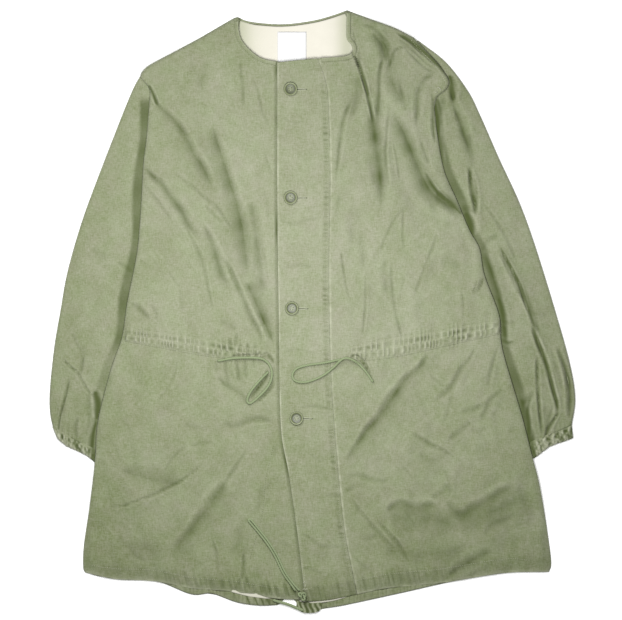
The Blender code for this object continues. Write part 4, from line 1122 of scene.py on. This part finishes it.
def makePlacket():
    u, v = np.linspace(0, 1, placket["columns"]) ** placket["crowd"], downRows(placket["rows"])
    seam = moved(placketSeam, -0.3)
    top, hem = placketTop[:-1] + [seam[0]], placketHem[:-1] + [seam[-1]]
    plan = patch(alongLine(placketEdge, v), alongLine(seam, v), alongLine(top, u), hemFold(hem, u), u, v)
    x, y = plan[..., 0], plan[..., 1]
    toSeam, fromEdge = seamX(y) - x, x - edgeX(y)
    # the ladder: painted shade between the puckers beside the seam
    _, tick, tickUneven = ruche(y, placket["ladderPitch"], placket["ladderWidth"], placket["ladderSeed"])
    ladder = (0.22 + tick * tickUneven) * smooth((toSeam - 1.5) / 2) * smooth((12 - toSeam) / 4)
    folds, foldDark, foldBright = creaseField("placket", x, y)
    dark = foldDark + 0.85 * ladder * (0.75 + 0.25 * np.sin(y / 19)) * smooth((356 - y) / 25)
    rub = np.clip(0.75 + 0.5 * np.sin(y / 31 + 1) + 0.3 * np.sin(y / 7.7), 0.1, 1.4)
    rub = rub * (0.35 + 0.65 * smooth((y + 330) / 60))
    wearAndHighlight = 1.1 * rub * bell(fromEdge - 1.0, 0.9) + 0.7 * bell(toSeam, 1.3) * (0.6 + 0.4 * np.sin(y / 3.1))
    hemHeight, hemDark = hemGathers(x, y, hemLeftY)
    height = placketHeight(x, y) + (folds + hemHeight) * smooth(fromEdge / 6)
    return sheetShell("placket_cloth", x, y, height, formOf(dark + hemDark, foldBright, wearAndHighlight), 1.2)


ready(makeFrontRight(), "cloth", "front_right")
ready(makeFrontLeft(), "cloth", "front_left")
ready(makePlacket(), "cloth", "placket")
print("fronts made")


# sleeves and cuffs: flat tubes, gathered into the cuffs
tube = {"rollWidth": 4.2, "crown": 1.3, "turn": 92, "wall": 0.9}
sleeve = {"rings": 241, "over": 110, "beneath": 30, "tucks": (9.5, 1.4, 16), "cast": 0.95, "castWidth": 15.5}
cuff = {"rings": 23, "over": 170, "beneath": 40, "tucks": (9.5, 2.0, 10), "cast": 1.2, "overlap": 0.16}
tubeSides = [
    ("right", -1, sleeveRightOuter, sleeveRightInner, cuffRightMouth, sideRightX, 2, 31),
    ("left", 1, sleeveLeftOuter, sleeveLeftInner, cuffLeftMouth, sideLeftX, 4, 32),
]


def aroundTube(over, beneath):
    # shares of the way across, over the top and back beneath, closer together at the folds
    there = 0.5 - 0.5 * np.cos(np.linspace(0, math.pi, over))
    back = 0.5 + 0.5 * np.cos(np.linspace(0, math.pi, beneath + 2))[1:-1]
    t = np.concatenate([there, back])
    return t, (np.arange(len(t)) < over)[None]


def tubeShell(name, x, y, top, t, width, isTop, form, mouth=1.0, turned=False):
    roll = rounded(np.minimum(t, 1 - t)[None] * width / tube["rollWidth"])
    middle = 0.5 * sleeveThickness
    z = np.where(isTop, middle + (top - middle) * roll * mouth, middle * (1 - roll))
    upper = np.dstack([x, y, z])
    if turned:
        upper, form = upper[:, ::-1], form[:, ::-1]
    return shell(name, upper, tube["wall"], form, cloth, ring=True)


def makeSleeve(side, sign, outer, inner, bodyX, seed, waveSeed):
    s = np.linspace(0, 1, sleeve["rings"])
    t, isTop = aroundTube(sleeve["over"], sleeve["beneath"])
    outerLine = alongLine(outer, s)
    over = alongLine(inner, s) - outerLine
    plan = outerLine[:, None] + over[:, None] * t[None, :, None]
    x, y = plan[..., 0], plan[..., 1]
    height, dark, bright = creaseField("sleeve" + side.title(), x, y)
    toCuff = (1 - s)[:, None] * lineLength(outer)
    tucks = pleats(t[None] * tube["turn"], toCuff, *sleeve["tucks"], seed)
    crown = tube["crown"] * (1 - (2 * t[None] - 1) ** 4) + ripples(x, y, waveSeed, 0.4, 24, 70)
    outside = sign * (x - bodyX(y))
    top = sleeveThickness + smooth((outside - 4) / 24) * (crown + height + tucks)
    # the body's shade on the sleeve
    reach = sleeve["castWidth"] + 2 * np.sin(y / 23)
    cast = sleeve["cast"] * smooth((reach - outside) / 7) * (0.9 + 0.1 * np.sin(y / 9)) * isTop
    cast = cast * smooth((325 - y) / 14)
    if side == "right":
        cast = cast * (1 - 0.55 * smooth((-40 - y) / 30))
    near = smooth((outside + 2) / 5) * isTop
    # painted shade in the tucks towards the cuff, with the creases' painted shade and highlight
    troughs = np.clip(1 - tucks / 1.0, 0, 1) * np.exp(-toCuff / 14) * 0.5
    form = formOf((dark + troughs) * near, bright * near, 0.0, cast)
    width = np.linalg.norm(over, axis=1)[:, None]
    return tubeShell(f"sleeve_{side}_cloth", x, y, top, t, width, isTop, form, turned=sign > 0)


def makeCuff(side, sign, outerEnd, innerEnd, mouth, bodyX, seed):
    s = np.linspace(0, 1, cuff["rings"])[:, None]
    t, isTop = aroundTube(cuff["over"], cuff["beneath"])
    outerEnd, innerEnd = np.array(outerEnd, float), np.array(innerEnd, float)
    end = alongLine(mouth, t)
    start = outerEnd + (innerEnd - outerEnd) * t[:, None]
    start = start - (end - start) * cuff["overlap"]
    drop = (end - start) / np.maximum(np.linalg.norm(end - start, axis=1), 1e-6)[:, None]
    scallop = pleats(t * tube["turn"], 0, 9.5, 1.0, 10, seed)
    down = s[..., None]
    plan = start[None] * (1 - down) + end[None] * down
    plan = plan + drop[None] * (down ** 4) * (scallop[None, :, None] - 0.5) * 1.2
    x, y = plan[..., 0], plan[..., 1]
    folds = pleats(t[None] * tube["turn"], 0, *cuff["tucks"], seed)
    crumple = ripples(x, y, 61 + seed, 0.7, 6, 15) + ripples(x, y, 71 + seed, 0.4, 4, 7)
    crown = tube["crown"] * (1 - (2 * t[None] - 1) ** 4) * (1 - s)
    bulge = crown + 0.8 * np.sin(math.pi * s) + 0.75 * folds + crumple * smooth(s / 0.3)
    shown = 1 - smooth((t[None] - 0.6) / 0.18)
    top = sleeveThickness - 0.6 * (1 - smooth(s / 0.2)) + shown * bulge
    melt = smooth((s - 0.05) / 0.3)
    # painted shadow of the body's edge on the cuff, painted shade in the fold and crumple hollows, wear at
    # the mouth and painted highlight on crests and bumps
    cast = cuff["cast"] * smooth((9 - sign * (x - bodyX(y))) / 5)
    hollows = np.clip(1.1 - 1.1 * folds, 0, 1.2) + 1.5 * np.clip(-crumple - 0.1, 0, 1)
    dark = (hollows * shown * melt + cast) * isTop
    rubbedAndHighlit = 0.5 * s ** 5 + 0.5 * smooth(folds - 0.7) + 1.0 * np.clip(crumple, 0, 1)
    form = formOf(dark, 0.0, rubbedAndHighlit * melt * (1 - smooth(cast)) * isTop)
    width = np.linalg.norm(innerEnd - outerEnd)
    mouthRoll = 0.3 + 0.7 * np.sqrt(1 - np.clip((s - 0.78) / 0.22, 0, 1) ** 2)
    return tubeShell(f"cuff_{side}_cloth", x, y, top, t, width, isTop, form, mouthRoll, sign > 0)


for side, sign, outer, inner, mouth, bodyX, seed, waveSeed in tubeSides:
    ready(makeSleeve(side, sign, outer, inner, bodyX, seed, waveSeed), "cloth", f"sleeve_{side}")
for side, sign, outer, inner, mouth, bodyX, seed, waveSeed in tubeSides:
    ready(makeCuff(side, sign, outer[-1], inner[-1], mouth, bodyX, seed), "cloth", f"cuff_{side}")
print("sleeves made")


# back, linings and what lies on the back
def makeBack():
    u, v = shares(101, 121)
    plan = patch(
        alongLine(sideRight, v), chained([(armholeLeft, 3), (sideLeft, 16)], v),
        chained([(shoulderRight, 6), (backNeck, 7), (shoulderLeft, 5)], u),
        chained([(hemBackRight, 8), (hemNotch, 2), (hemBackLeft, 8)], u), u, v,
    )
    x, y = plan[..., 0], plan[..., 1]
    inward = 1.2 * np.exp(-edgeAway(x, y) / 3)
    x = x - np.sign(x) * inward * (y < 380)
    low = lift(x, y)
    dents = np.clip(ripples(x, y, 41, 0.7, 40, 90), 0, 1) * smooth(edgeAway(x, y) / 20)
    dents = dents * smooth((y - hemBackY(x)) / 20)
    lower = np.dstack([x, y, low + dents * 0.6])
    return shell("back_cloth", np.dstack([x, y, low + 1.1]), 1.0, formOf(0 * x), cloth, lower=lower)


lining = {
    "neckFoot": 345, "neckRise": 1.3,
    "hemSpan": (-255, 315), "hemHeight": 30, "hemRise": 1.1, "hemShade": 0.55,
}


def makeLiningNeck():
    u, v = shares(81, 45)
    foot = lining["neckFoot"]
    top = besideLine(backNeck, np.linspace(0.03, 0.975, 9), [-3.4])[0]
    left = alongLine([top[0], (-113, 415), (-115, 390), (-110, foot)], v)
    right = alongLine([top[-1], (60, 425), (69, 395), (66, foot)], v)
    plan = patch(left, right, alongLine(top, u), alongLine([(-110, foot), (66, foot)], u), u, v)
    x, y = plan[..., 0], plan[..., 1]
    height = backSurface(x, y) + lining["neckRise"] + ripples(x, y, 51, 0.25, 30, 60)
    shadow = 0.6 * bell(np.maximum(x + 110, 0), 17) + 0.7 * bell(x - 52, 15)
    shadow += 0.04 + 0.22 * bell(x + 100, 32)
    form = formOf(0 * x, 0.0, 0.0, np.clip(shadow, 0, 1))
    return sheetShell("lining_neck_cloth", x, y, height, form, 0.8, insideCloth)


# how far the inside shows below the fronts, along the hem
liningPeep = [
    (-124, 0), (-112, 1.6), (-96, 2.8), (-84, 2.4), (-70, 1.6), (-56, 0),
    (-10, 0), (-3, 2.6), (10, 3.0), (32, 2.4), (46, 1.2), (52, 0),
]


def makeLiningHem():
    # the pale inside, from under the fronts to where it shows below their hem
    u, v = shares(421, 21)
    start, length = lining["hemSpan"]
    x = start + length * u[None] + 0 * v[:, None]
    peep = yOf(liningPeep)(x)
    edge = np.where(x < -19, hemRightY(x), hemLeftY(x)) - hemRim - peep
    y = edge + (1 - v[:, None]) * lining["hemHeight"]
    raised = 0.9 * smooth(peep / 0.8) * smooth((v[:, None] - 0.5) / 0.3)
    height = backSurface(x, y) + lining["hemRise"] + raised
    return sheetShell("lining_hem_cloth", x, y, height, formOf(lining["hemShade"] + 0 * x), 0.5, insideCloth)


facing = {"depth": 26, "pitch": 7.5, "tightPitch": 13, "tightPlace": -52, "tightReach": 78, "rise": 0.7}


def makeFacing(name, line, span, seed):
    # the hem's casing, in small tucks, and in larger ones beside the tie
    u, v = shares(421, 21)
    edge = alongLine(line, between(span, u))
    rise = 0.4 + facing["depth"] * (1 - v[:, None])
    x, y = edge[None, :, 0] + 0 * v[:, None], edge[None, :, 1] + rise
    slanted = x + 0.4 * y
    ends = smooth(np.minimum(u, 1 - u) / 0.02)[None]
    tight = smooth((facing["tightReach"] - np.abs(x - facing["tightPlace"])) / 36)
    folds = pleats(x, 0, facing["pitch"], 0.6, 5, seed)
    folds = (folds + tight * pleats(slanted, 0, facing["tightPitch"], 1.6, 5, seed)) * ends
    puff = rounded(rise / 4) * (1 - 0.78 * smooth((rise - 9) / 5))
    height = backSurface(x, y) + facing["rise"] + (0.5 + folds) * puff
    # painted shade in the tucks' troughs and a slight even painted shade over the band; wear at the fold and
    # painted highlight on the tight crests
    shade = pleatShade(x, 0 * x, facing["pitch"], 5, seed) * 0.6
    shade = shade + 1.5 * tight * pleatShade(slanted, 0 * x, facing["tightPitch"], 5, seed)
    wearAndHighlight = 0.3 * np.exp(-(1 - v[:, None]) / 0.12) + 0.3 * tight * smooth(folds - 1.0)
    return sheetShell(name, x, y, height, formOf(shade * ends + 0.1, 0.0, wearAndHighlight))


label = {"left": -52.5, "top": 420, "width": 43.5, "height": 52, "rise": 1.6}


def makeLabel():
    u, v = shares(21, 21)
    u, v = u[None] + 0 * v[:, None], v[:, None] + 0 * u[None]
    x, y = label["left"] + label["width"] * u, label["top"] - label["height"] * v
    rim = smooth(np.minimum(np.minimum(u, 1 - u), np.minimum(v, 1 - v)) / 0.06)
    height = backSurface(x, y) + label["rise"] + 0.35 * rim + 0.2 * np.sin(u * 3)
    return sheetShell("label_cloth", x, y, height, formOf(0 * x), 0.5, labelCloth)


ready(makeBack(), "cloth", "back")
ready(makeLiningNeck(), "inside", "lining_neck")
ready(makeLiningHem(), "inside", "lining_hem")
ready(makeFacing("hem_facing_right_cloth", hemBackRight, (0.05, 0.985), 6), "cloth", "hem_facing_right")
ready(makeFacing("hem_facing_left_cloth", hemBackLeft, (0.135, 0.96), 7), "cloth", "hem_facing_left")
ready(makeLabel(), "label", "label")
print("inside made")


# casings and bindings
casing = {
    "margin": 4.5, "upper": (8.2, 1.7, 3), "lower": (7.7, 1.8, 5), "lowerShift": 3.1,
    "ridge": 2.4, "shade": 0.85,
}


def makeCasing(name, top, lower, seed):
    # ruched over the drawcord: two rows of hollows in painted shade between ridges lightened by wear and
    # painted highlight, melting into the front
    u, v = shares(521, 41)
    plan = strip(moved(top, 0, casing["margin"]), moved(lower, 0, -casing["margin"]), u, v)
    x, y = plan[..., 0], plan[..., 1]
    ends = smooth(np.minimum(u, 1 - u) / 0.015)[None]
    flat = smooth(np.minimum(v, 1 - v) / 0.2)[:, None] * ends
    side = smooth((v - 0.44) / 0.12)[:, None]
    both = []
    for along, (pitch, width, firstSeed) in ((0, casing["upper"]), (casing["lowerShift"], casing["lower"])):
        both.append(ruche(x + along, pitch, width, firstSeed + seed))
    fold, ridge, bunched = [above * (1 - side) + beneath * side for above, beneath in zip(*both)]
    bunched = bunched * (0.65 + 0.6 * np.sin(x / 17 + seed) * np.sin(x / 43 + 2))
    stitchRow = bell(v - 0.5, 0.06)[:, None]
    dashes = 0.5 + 0.5 * np.sin(x / 1.1)
    height = frontSurface(x, y) + 0.3 + flat * (0.8 + casing["ridge"] * fold + 0.35 * stitchRow)
    hollow = np.sin(math.pi * np.clip((v - 0.08) / 0.84, 0, 1) * 2)[:, None] ** 2
    dark = (1 - ridge) * (0.25 + casing["shade"] * bunched) * hollow * ends
    wearAndHighlight = (0.9 * fold * (0.3 + 0.7 * flat) + 0.3 * stitchRow * dashes * (0.4 + 0.6 * fold)) * ends
    return sheetShell(name, x, y, height, formOf(dark, 0.0, wearAndHighlight))


casings = [
    ("waist_casing_right", casingRightTop, casingRightLower),
    ("waist_casing_left", casingLeftTop, casingLeftLower),
]
for number, (name, top, lower) in enumerate(casings):
    ready(makeCasing(name + "_cloth", top, lower, number), "cloth", name)


def makeBinding(name, line, span, offsets, surface, puffed, turned):
    u, across = shares(161, 9)
    plan = besideLine(line, between(span, u), between(offsets, across))
    x, y = plan[..., 0], plan[..., 1]
    puff = np.sqrt(np.clip(1 - np.abs(2 * across - 1) ** 3, 0, 1))[:, None]
    # lighter near one edge, wear and painted highlight; painted shade along the other
    wearAndHighlight = 0.5 * bell(across - 0.15, 0.15)[:, None] + 0 * x
    dark = 0.25 * bell(across - 0.95, 0.12)[:, None] + 0 * x
    upper, form = np.dstack([x, y, surface(x, y) + 0.5 + puffed * puff]), formOf(dark, 0.0, wearAndHighlight)
    if turned:
        upper, form = upper[::-1], form[::-1]
    return shell(name + "_cloth", upper, 0.6, form, cloth)


bindings = [
    ("neck_binding_right", neckRight, (0.06, 0.955), (-0.4, -6.2), frontSurface, 0.6, False),
    ("neck_binding_left", neckLeft, (0.03, 0.955), (-0.4, 6.2), frontSurface, 0.6, True),
    ("neck_binding_back", backNeck, (0.03, 0.97), (-0.2, -2.8), backSurface, 0.8, False),
]
for binding in bindings:
    ready(makeBinding(*binding), "cloth", binding[0])
print("trims made")


# buttons, turned and drilled
button = {
    "radius": 10.2, "height": 3.2, "bevel": 0.7, "holeRadius": 0.95, "holePlace": 2.5,
    "insets": ((1.5, 0), (1.6, -1.0), (1.2, -0.15)), "rimFrom": 9.6, "groove": (5.8, 8.0), "dishShade": 0.15,
}


def selectOnly(*pieces):
    bpy.ops.object.select_all(action="DESELECT")
    for piece in pieces:
        piece.select_set(True)
        bpy.context.view_layer.objects.active = piece


def makeButton():
    selectOnly()
    radius, height = button["radius"] * mm, button["height"] * mm
    bpy.ops.mesh.primitive_cylinder_add(vertices=64, radius=radius, depth=height, location=(0, 0, height / 2))
    piece = bpy.context.object
    bpy.ops.object.mode_set(mode="EDIT")
    bpy.ops.mesh.select_all(action="DESELECT")
    bpy.ops.object.mode_set(mode="OBJECT")
    top = max(piece.data.polygons, key=lambda p: p.center.z)
    top.select = True
    bpy.ops.object.mode_set(mode="EDIT")
    bpy.ops.mesh.select_mode(type="FACE")
    for thickness, depth in button["insets"]:
        bpy.ops.mesh.inset(thickness=thickness * mm, depth=depth * mm)
    bpy.ops.object.mode_set(mode="OBJECT")
    bevel = piece.modifiers.new("round", "BEVEL")
    bevel.width = button["bevel"] * mm
    bevel.segments = 3
    bevel.angle_limit = math.radians(30)
    bpy.ops.object.modifier_apply(modifier="round")
    for k in range(4):
        angle, away = tau / 8 + k * tau / 4, button["holePlace"] * mm
        spot = (away * math.cos(angle), away * math.sin(angle), 1.5 * mm)
        radius = button["holeRadius"] * mm
        bpy.ops.mesh.primitive_cylinder_add(vertices=16, radius=radius, depth=6 * mm, location=spot)
        drill = bpy.context.object
        cut = piece.modifiers.new("hole", "BOOLEAN")
        cut.object = drill
        cut.solver = "EXACT"
        bpy.context.view_layer.objects.active = piece
        bpy.ops.object.modifier_apply(modifier="hole")
        bpy.data.objects.remove(drill, do_unlink=True)
    piece.data.materials.clear()
    piece.data.materials.append(horn)
    selectOnly(piece)
    bpy.ops.object.transform_apply(location=True, rotation=True, scale=True)
    bpy.ops.object.shade_smooth_by_angle(angle=math.radians(35))
    grooveFrom, grooveTo = button["groove"]
    # painted shade on the rim's side, in the groove ring and lightly in the dish
    layer = piece.data.color_attributes.new("form", "FLOAT_COLOR", "POINT")
    for vertex, shade in zip(piece.data.vertices, layer.data):
        away = math.hypot(vertex.co.x, vertex.co.y) / mm
        deep = away > button["rimFrom"] or grooveFrom < away < grooveTo
        shade.color = (1.0 if deep else button["dishShade"] if away < 6.0 else 0.0, 0, 0, 1)
    return piece


def placketAt(x, y):
    return float(placketHeight(np.array([x + 0.0]), np.array([y + 0.0]))[0])


pattern = makeButton()
buttonPlaces = [(-33, 334, 0.2), (-33, 171, 0.9), (-31, 5, -0.3), (-24, -160, 0.5)]  # x, y and its turn
for number, (x, y, turn) in enumerate(buttonPlaces, 1):
    piece = added(f"button_{number}_turned", pattern.data.copy())
    place = Matrix.Translation((x * mm, y * mm, (placketAt(x, y) + 0.5) * mm))
    piece.data.transform(place @ Matrix.Rotation(turn, 4, "Z"))
    ready(piece, "button", f"button_{number}")
bpy.data.objects.remove(pattern, do_unlink=True)


def threadTube(name, route, radius, material):
    piece, _ = cordMesh(name, np.array(route, float), radius, 2.4, 8)
    piece.data.materials[0] = material
    return ready(piece, "cloth")


def oval(x, y, z, length, width):
    angle = np.linspace(0.2, tau - 0.2, 40)
    return np.column_stack([x + length * np.cos(angle), y + width * np.sin(angle), z + 0 * angle])


hole = {"middle": 13, "length": 11, "width": 1.1, "slit": (2, 25), "below": 0.5}
for number, (x, y, turn) in enumerate(buttonPlaces, 1):
    low = y - hole["below"]
    z = placketAt(x + 17.0, low) + 0.2
    first, last = hole["slit"]
    around = oval(x + hole["middle"], low, z, hole["length"], hole["width"])
    threadTube(f"buttonhole_{number}", around, 0.6, thread)
    # painted shade: a dark thread laid along the open slit
    slit = [(x + first, low, z), (x + hole["middle"], y - 0.4, z), (x + last, low, z)]
    threadTube(f"buttonhole_slit_shade_{number}", slit, 0.7, darkThreadAndSlitShade)
    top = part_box(f"button_{number}")[1][2] / mm - 0.9
    for side in (-1, 1):
        along = np.array([math.cos(turn), math.sin(turn)]) * 2.4
        over = np.array([-along[1], along[0]]) * 0.72 * side
        k = np.linspace(-1, 1, 9)
        across, up = x + over[0] + along[0] * k, y + over[1] + along[1] * k
        route = np.column_stack([across, up, top + 0.5 - 0.9 * k * k])
        threadTube(f"button_thread_{number}_{'ab'[side > 0]}", route, 0.42, thread)
print("buttons made")


# the tie at the hem: the cord's bridge across the notch, the knot, and the bunched cloth
hemBridge = [(-60, -432.5), (-49.4, -435.6), (-42, -437.5), (-33, -440.5), (-22.3, -445), (-13, -448.5)]
knot = {"size": (1.9, 2.1, 1.3), "slant": 0.25, "cord": 1.6, "place": (0, -1.5, 0.4)}
gather = {"flutes": 5, "height": 2.4, "rise": 1.2}
gatherTop = [(-24, -434), (-4, -437), (14, -436)]
gatherLower = [(-24, -445), (-15, -451), (-2, -452), (8, -450), (13, -446)]


def makeBridge():
    line = alongLine(hemBridge, np.linspace(0, 1, 40))
    line = np.column_stack([line, backSurface(line[:, 0], line[:, 1]) + 2.6])
    return cordMesh("hem_cord_bridge_twisted", line, 2.4)[0]


def makeKnot():
    # an overhand knot: one strand wound over itself
    low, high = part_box("hem_knot")
    middle = (np.array(low) + np.array(high)) / 2 / mm
    wide, tall, deep = knot["size"]
    t = np.linspace(0, tau, 120, endpoint=False)
    x = (np.sin(t) + 2 * np.sin(2 * t)) * wide
    y = (np.cos(t) - 2 * np.cos(2 * t)) * tall
    route = np.column_stack([x - knot["slant"] * y, y, -np.sin(3 * t) * deep]) + middle + knot["place"]
    return cordMesh("hem_knot_tied", route, knot["cord"], 6.0)[0]


def makeGather():
    # the back's hem drawn together under the knot, in flutes that fan out
    u, v = shares(161, 41)
    plan = strip(gatherTop, gatherLower, u, v)
    x, y = plan[..., 0], plan[..., 1]
    u, v, flutes = u[None], v[:, None], gather["flutes"]
    ends = 0.35 + 0.65 * smooth(np.minimum(u, 1 - u) / 0.12)
    wave = np.abs(np.sin(math.pi * flutes * (u + 0.06 * np.sin(4 * v + 1)))) ** 0.8
    tall = 0.75 + 0.25 * np.sin(np.floor(flutes * u) * 2.3)
    crests = (0.5 + gather["height"] * wave * tall * (0.6 + 0.4 * v)) * ends
    # painted shade in the flutes' troughs, painted highlight on their crests
    dark = np.clip(1.9 - 2.1 * wave * tall, 0, 1.5)
    wearAndHighlight = 0.6 * smooth((wave - 0.8) / 0.2) * (0.4 + 0.6 * v)
    height = backSurface(x, y) + gather["rise"] + crests
    return sheetShell("hem_gather_cloth", x, y, height, formOf(dark, 0.0, wearAndHighlight))


ready(makeBridge(), "cord", "hem_cord_bridge")
ready(makeKnot(), "cord", "hem_knot")
ready(makeGather(), "cloth", "hem_gather")
# frayed ends: x, y and length, four at the tie and three at the left armhole
frays = [
    (-14, -408, 6), (-11, -413, 5), (-15, -417, 6), (-8, -418, 4),
    (187, 336, 5), (192, 331, 6), (184, 328, 4),
]
for number, (x, y, length) in enumerate(frays):
    angle = 0.9 + 1.1 * math.sin(number * 2.7)
    t = np.linspace(0, 1, 7)
    across, up = x + length * t * math.cos(angle), y + length * t * math.sin(angle) + np.sin(t * 4)
    seat = np.maximum(placketHeight(across, up), frontSurface(across, up)).max()
    over = 4.5 if x < 0 and y < -412 else 0  # over the knot
    threadTube(f"fray_{number}", np.column_stack([across, up, 0 * t + seat + 0.5 + over]), 0.5, thread)
print("hem tied")


# stitches: short raised threads in rows
stitch = {"pitch": 3.3, "length": 2.3, "width": 0.55, "rise": 0.3, "margin": 9.0}
hiddenStitch = dict(stitch, length=1.6, width=0.4)
stitchCorners = [
    (-0.5, 0, 0), (-0.25, -0.5, 0), (-0.25, 0.5, 0), (-0.2, 0, 1),
    (0.2, 0, 1), (0.25, -0.5, 0), (0.25, 0.5, 0), (0.5, 0, 0),
]
stitchFaces = [
    (0, 1, 3), (0, 3, 2), (1, 5, 4, 3), (2, 3, 4, 6), (5, 7, 4), (6, 4, 7),
    (0, 2, 1), (1, 2, 6, 5), (5, 6, 7),
]


def stitchMesh(name, rows, material, sizes):
    centres, directions = [], []
    for points, surface in rows:
        count = max(int(lineLength(points) / sizes["pitch"]), 2)
        here = alongLine(points, (np.arange(count) + 0.5) / count)
        ahead = np.gradient(here, axis=0)
        centres.append(np.column_stack([here, surface(here[:, 0], here[:, 1])]))
        directions.append(ahead / np.linalg.norm(ahead, axis=1)[:, None])
    centre, ahead = np.vstack(centres), np.vstack(directions)
    side = np.column_stack([-ahead[:, 1], ahead[:, 0]])
    points = []
    for a, b, c in stitchCorners:
        flat = centre[:, :2] + ahead * a * sizes["length"] + side * b * sizes["width"]
        points.append(np.column_stack([flat, centre[:, 2] + 0.12 + c * sizes["rise"]]))
    points = np.stack(points, axis=1).reshape(-1, 3)
    faces = [[k * 8 + i for i in face] for k in range(len(centre)) for face in stitchFaces]
    return meshObject(name, points, faces, material, soft=False)


def neckRow(line, offset):
    return besideLine(line, np.linspace(0.1, 0.95, 14), [offset])[0]


def hemRow(lowerY, start, end, step):
    return [(x, float(lowerY(x) + hemDepth(x))) for x in range(start, end, step)]


underEdge = [(-58, -200), (-70, -252), (-76, -306), (-94, -372)]
paleRows = [
    (moved(placketSeam[1:], -4.0), placketHeight),
    (moved(placketEdge, 3.2), placketHeight),
    ([(-50, 368.5), (-24, 371), (0, 374)], placketHeight),
    (neckRow(neckLeft, stitch["margin"]), frontSurface),
    (neckRow(neckRight, -stitch["margin"]), frontSurface),
    (hemRow(hemRightY, -332, -20, 24), frontSurface),
    (hemRow(hemLeftY, -12, 62, 12), placketHeight),
    (hemRow(hemLeftY, 62, 350, 24), frontSurface),
    (moved(armholeLeft[:5], -4.5, -3.5), frontSurface),
]
ready(stitchMesh("pale_stitches", paleRows, thread, stitch), "cloth")
ready(stitchMesh("hidden_row", [(underEdge, frontSurface)], darkThreadAndSlitShade, hiddenStitch), "cloth")
print("stitches made")

Cut = namedtuple("Cut", "piece width length area held restsOn trims")

# floor and light: a white table under a broad lamp at the upper left
bpy.ops.object.select_all(action="DESELECT")
bpy.ops.mesh.primitive_plane_add(size=8, location=(0, 0, -0.0004))
floor = bpy.context.object
floor.name = "floor"
floor.data.materials.append(floorPaint)
floor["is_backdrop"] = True

light = {
    "sky": 0.25, "size": 0.5, "key": 9.5, "keyPlace": (-0.5, 0.8, 1.25),
    "top": 9, "topPlace": (-0.05, 0.0, 0.9),
}
world = bpy.data.worlds.new("studio")
world.use_nodes = True
background = world.node_tree.nodes["Background"]
background.inputs[0].default_value = (1, 1, 1, 1)
background.inputs[1].default_value = light["sky"]
bpy.context.scene.world = world
bpy.context.scene.view_settings.view_transform = "Standard"


def softLight(name, location, power, target):
    lamp = bpy.data.lights.new(name, "AREA")
    lamp.size = light["size"]
    lamp.energy = power
    made = added(name, lamp)
    made.location = location
    made.rotation_euler = (Vector(target) - Vector(location)).to_track_quat("-Z", "Y").to_euler()


softLight("key", light["keyPlace"], light["key"], (0, 0, 0))
softLight("top", light["topPlace"], light["top"], (-0.05, 0, 0))

low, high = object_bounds()
print("box", [round(v, 4) for v in low], [round(v, 4) for v in high])
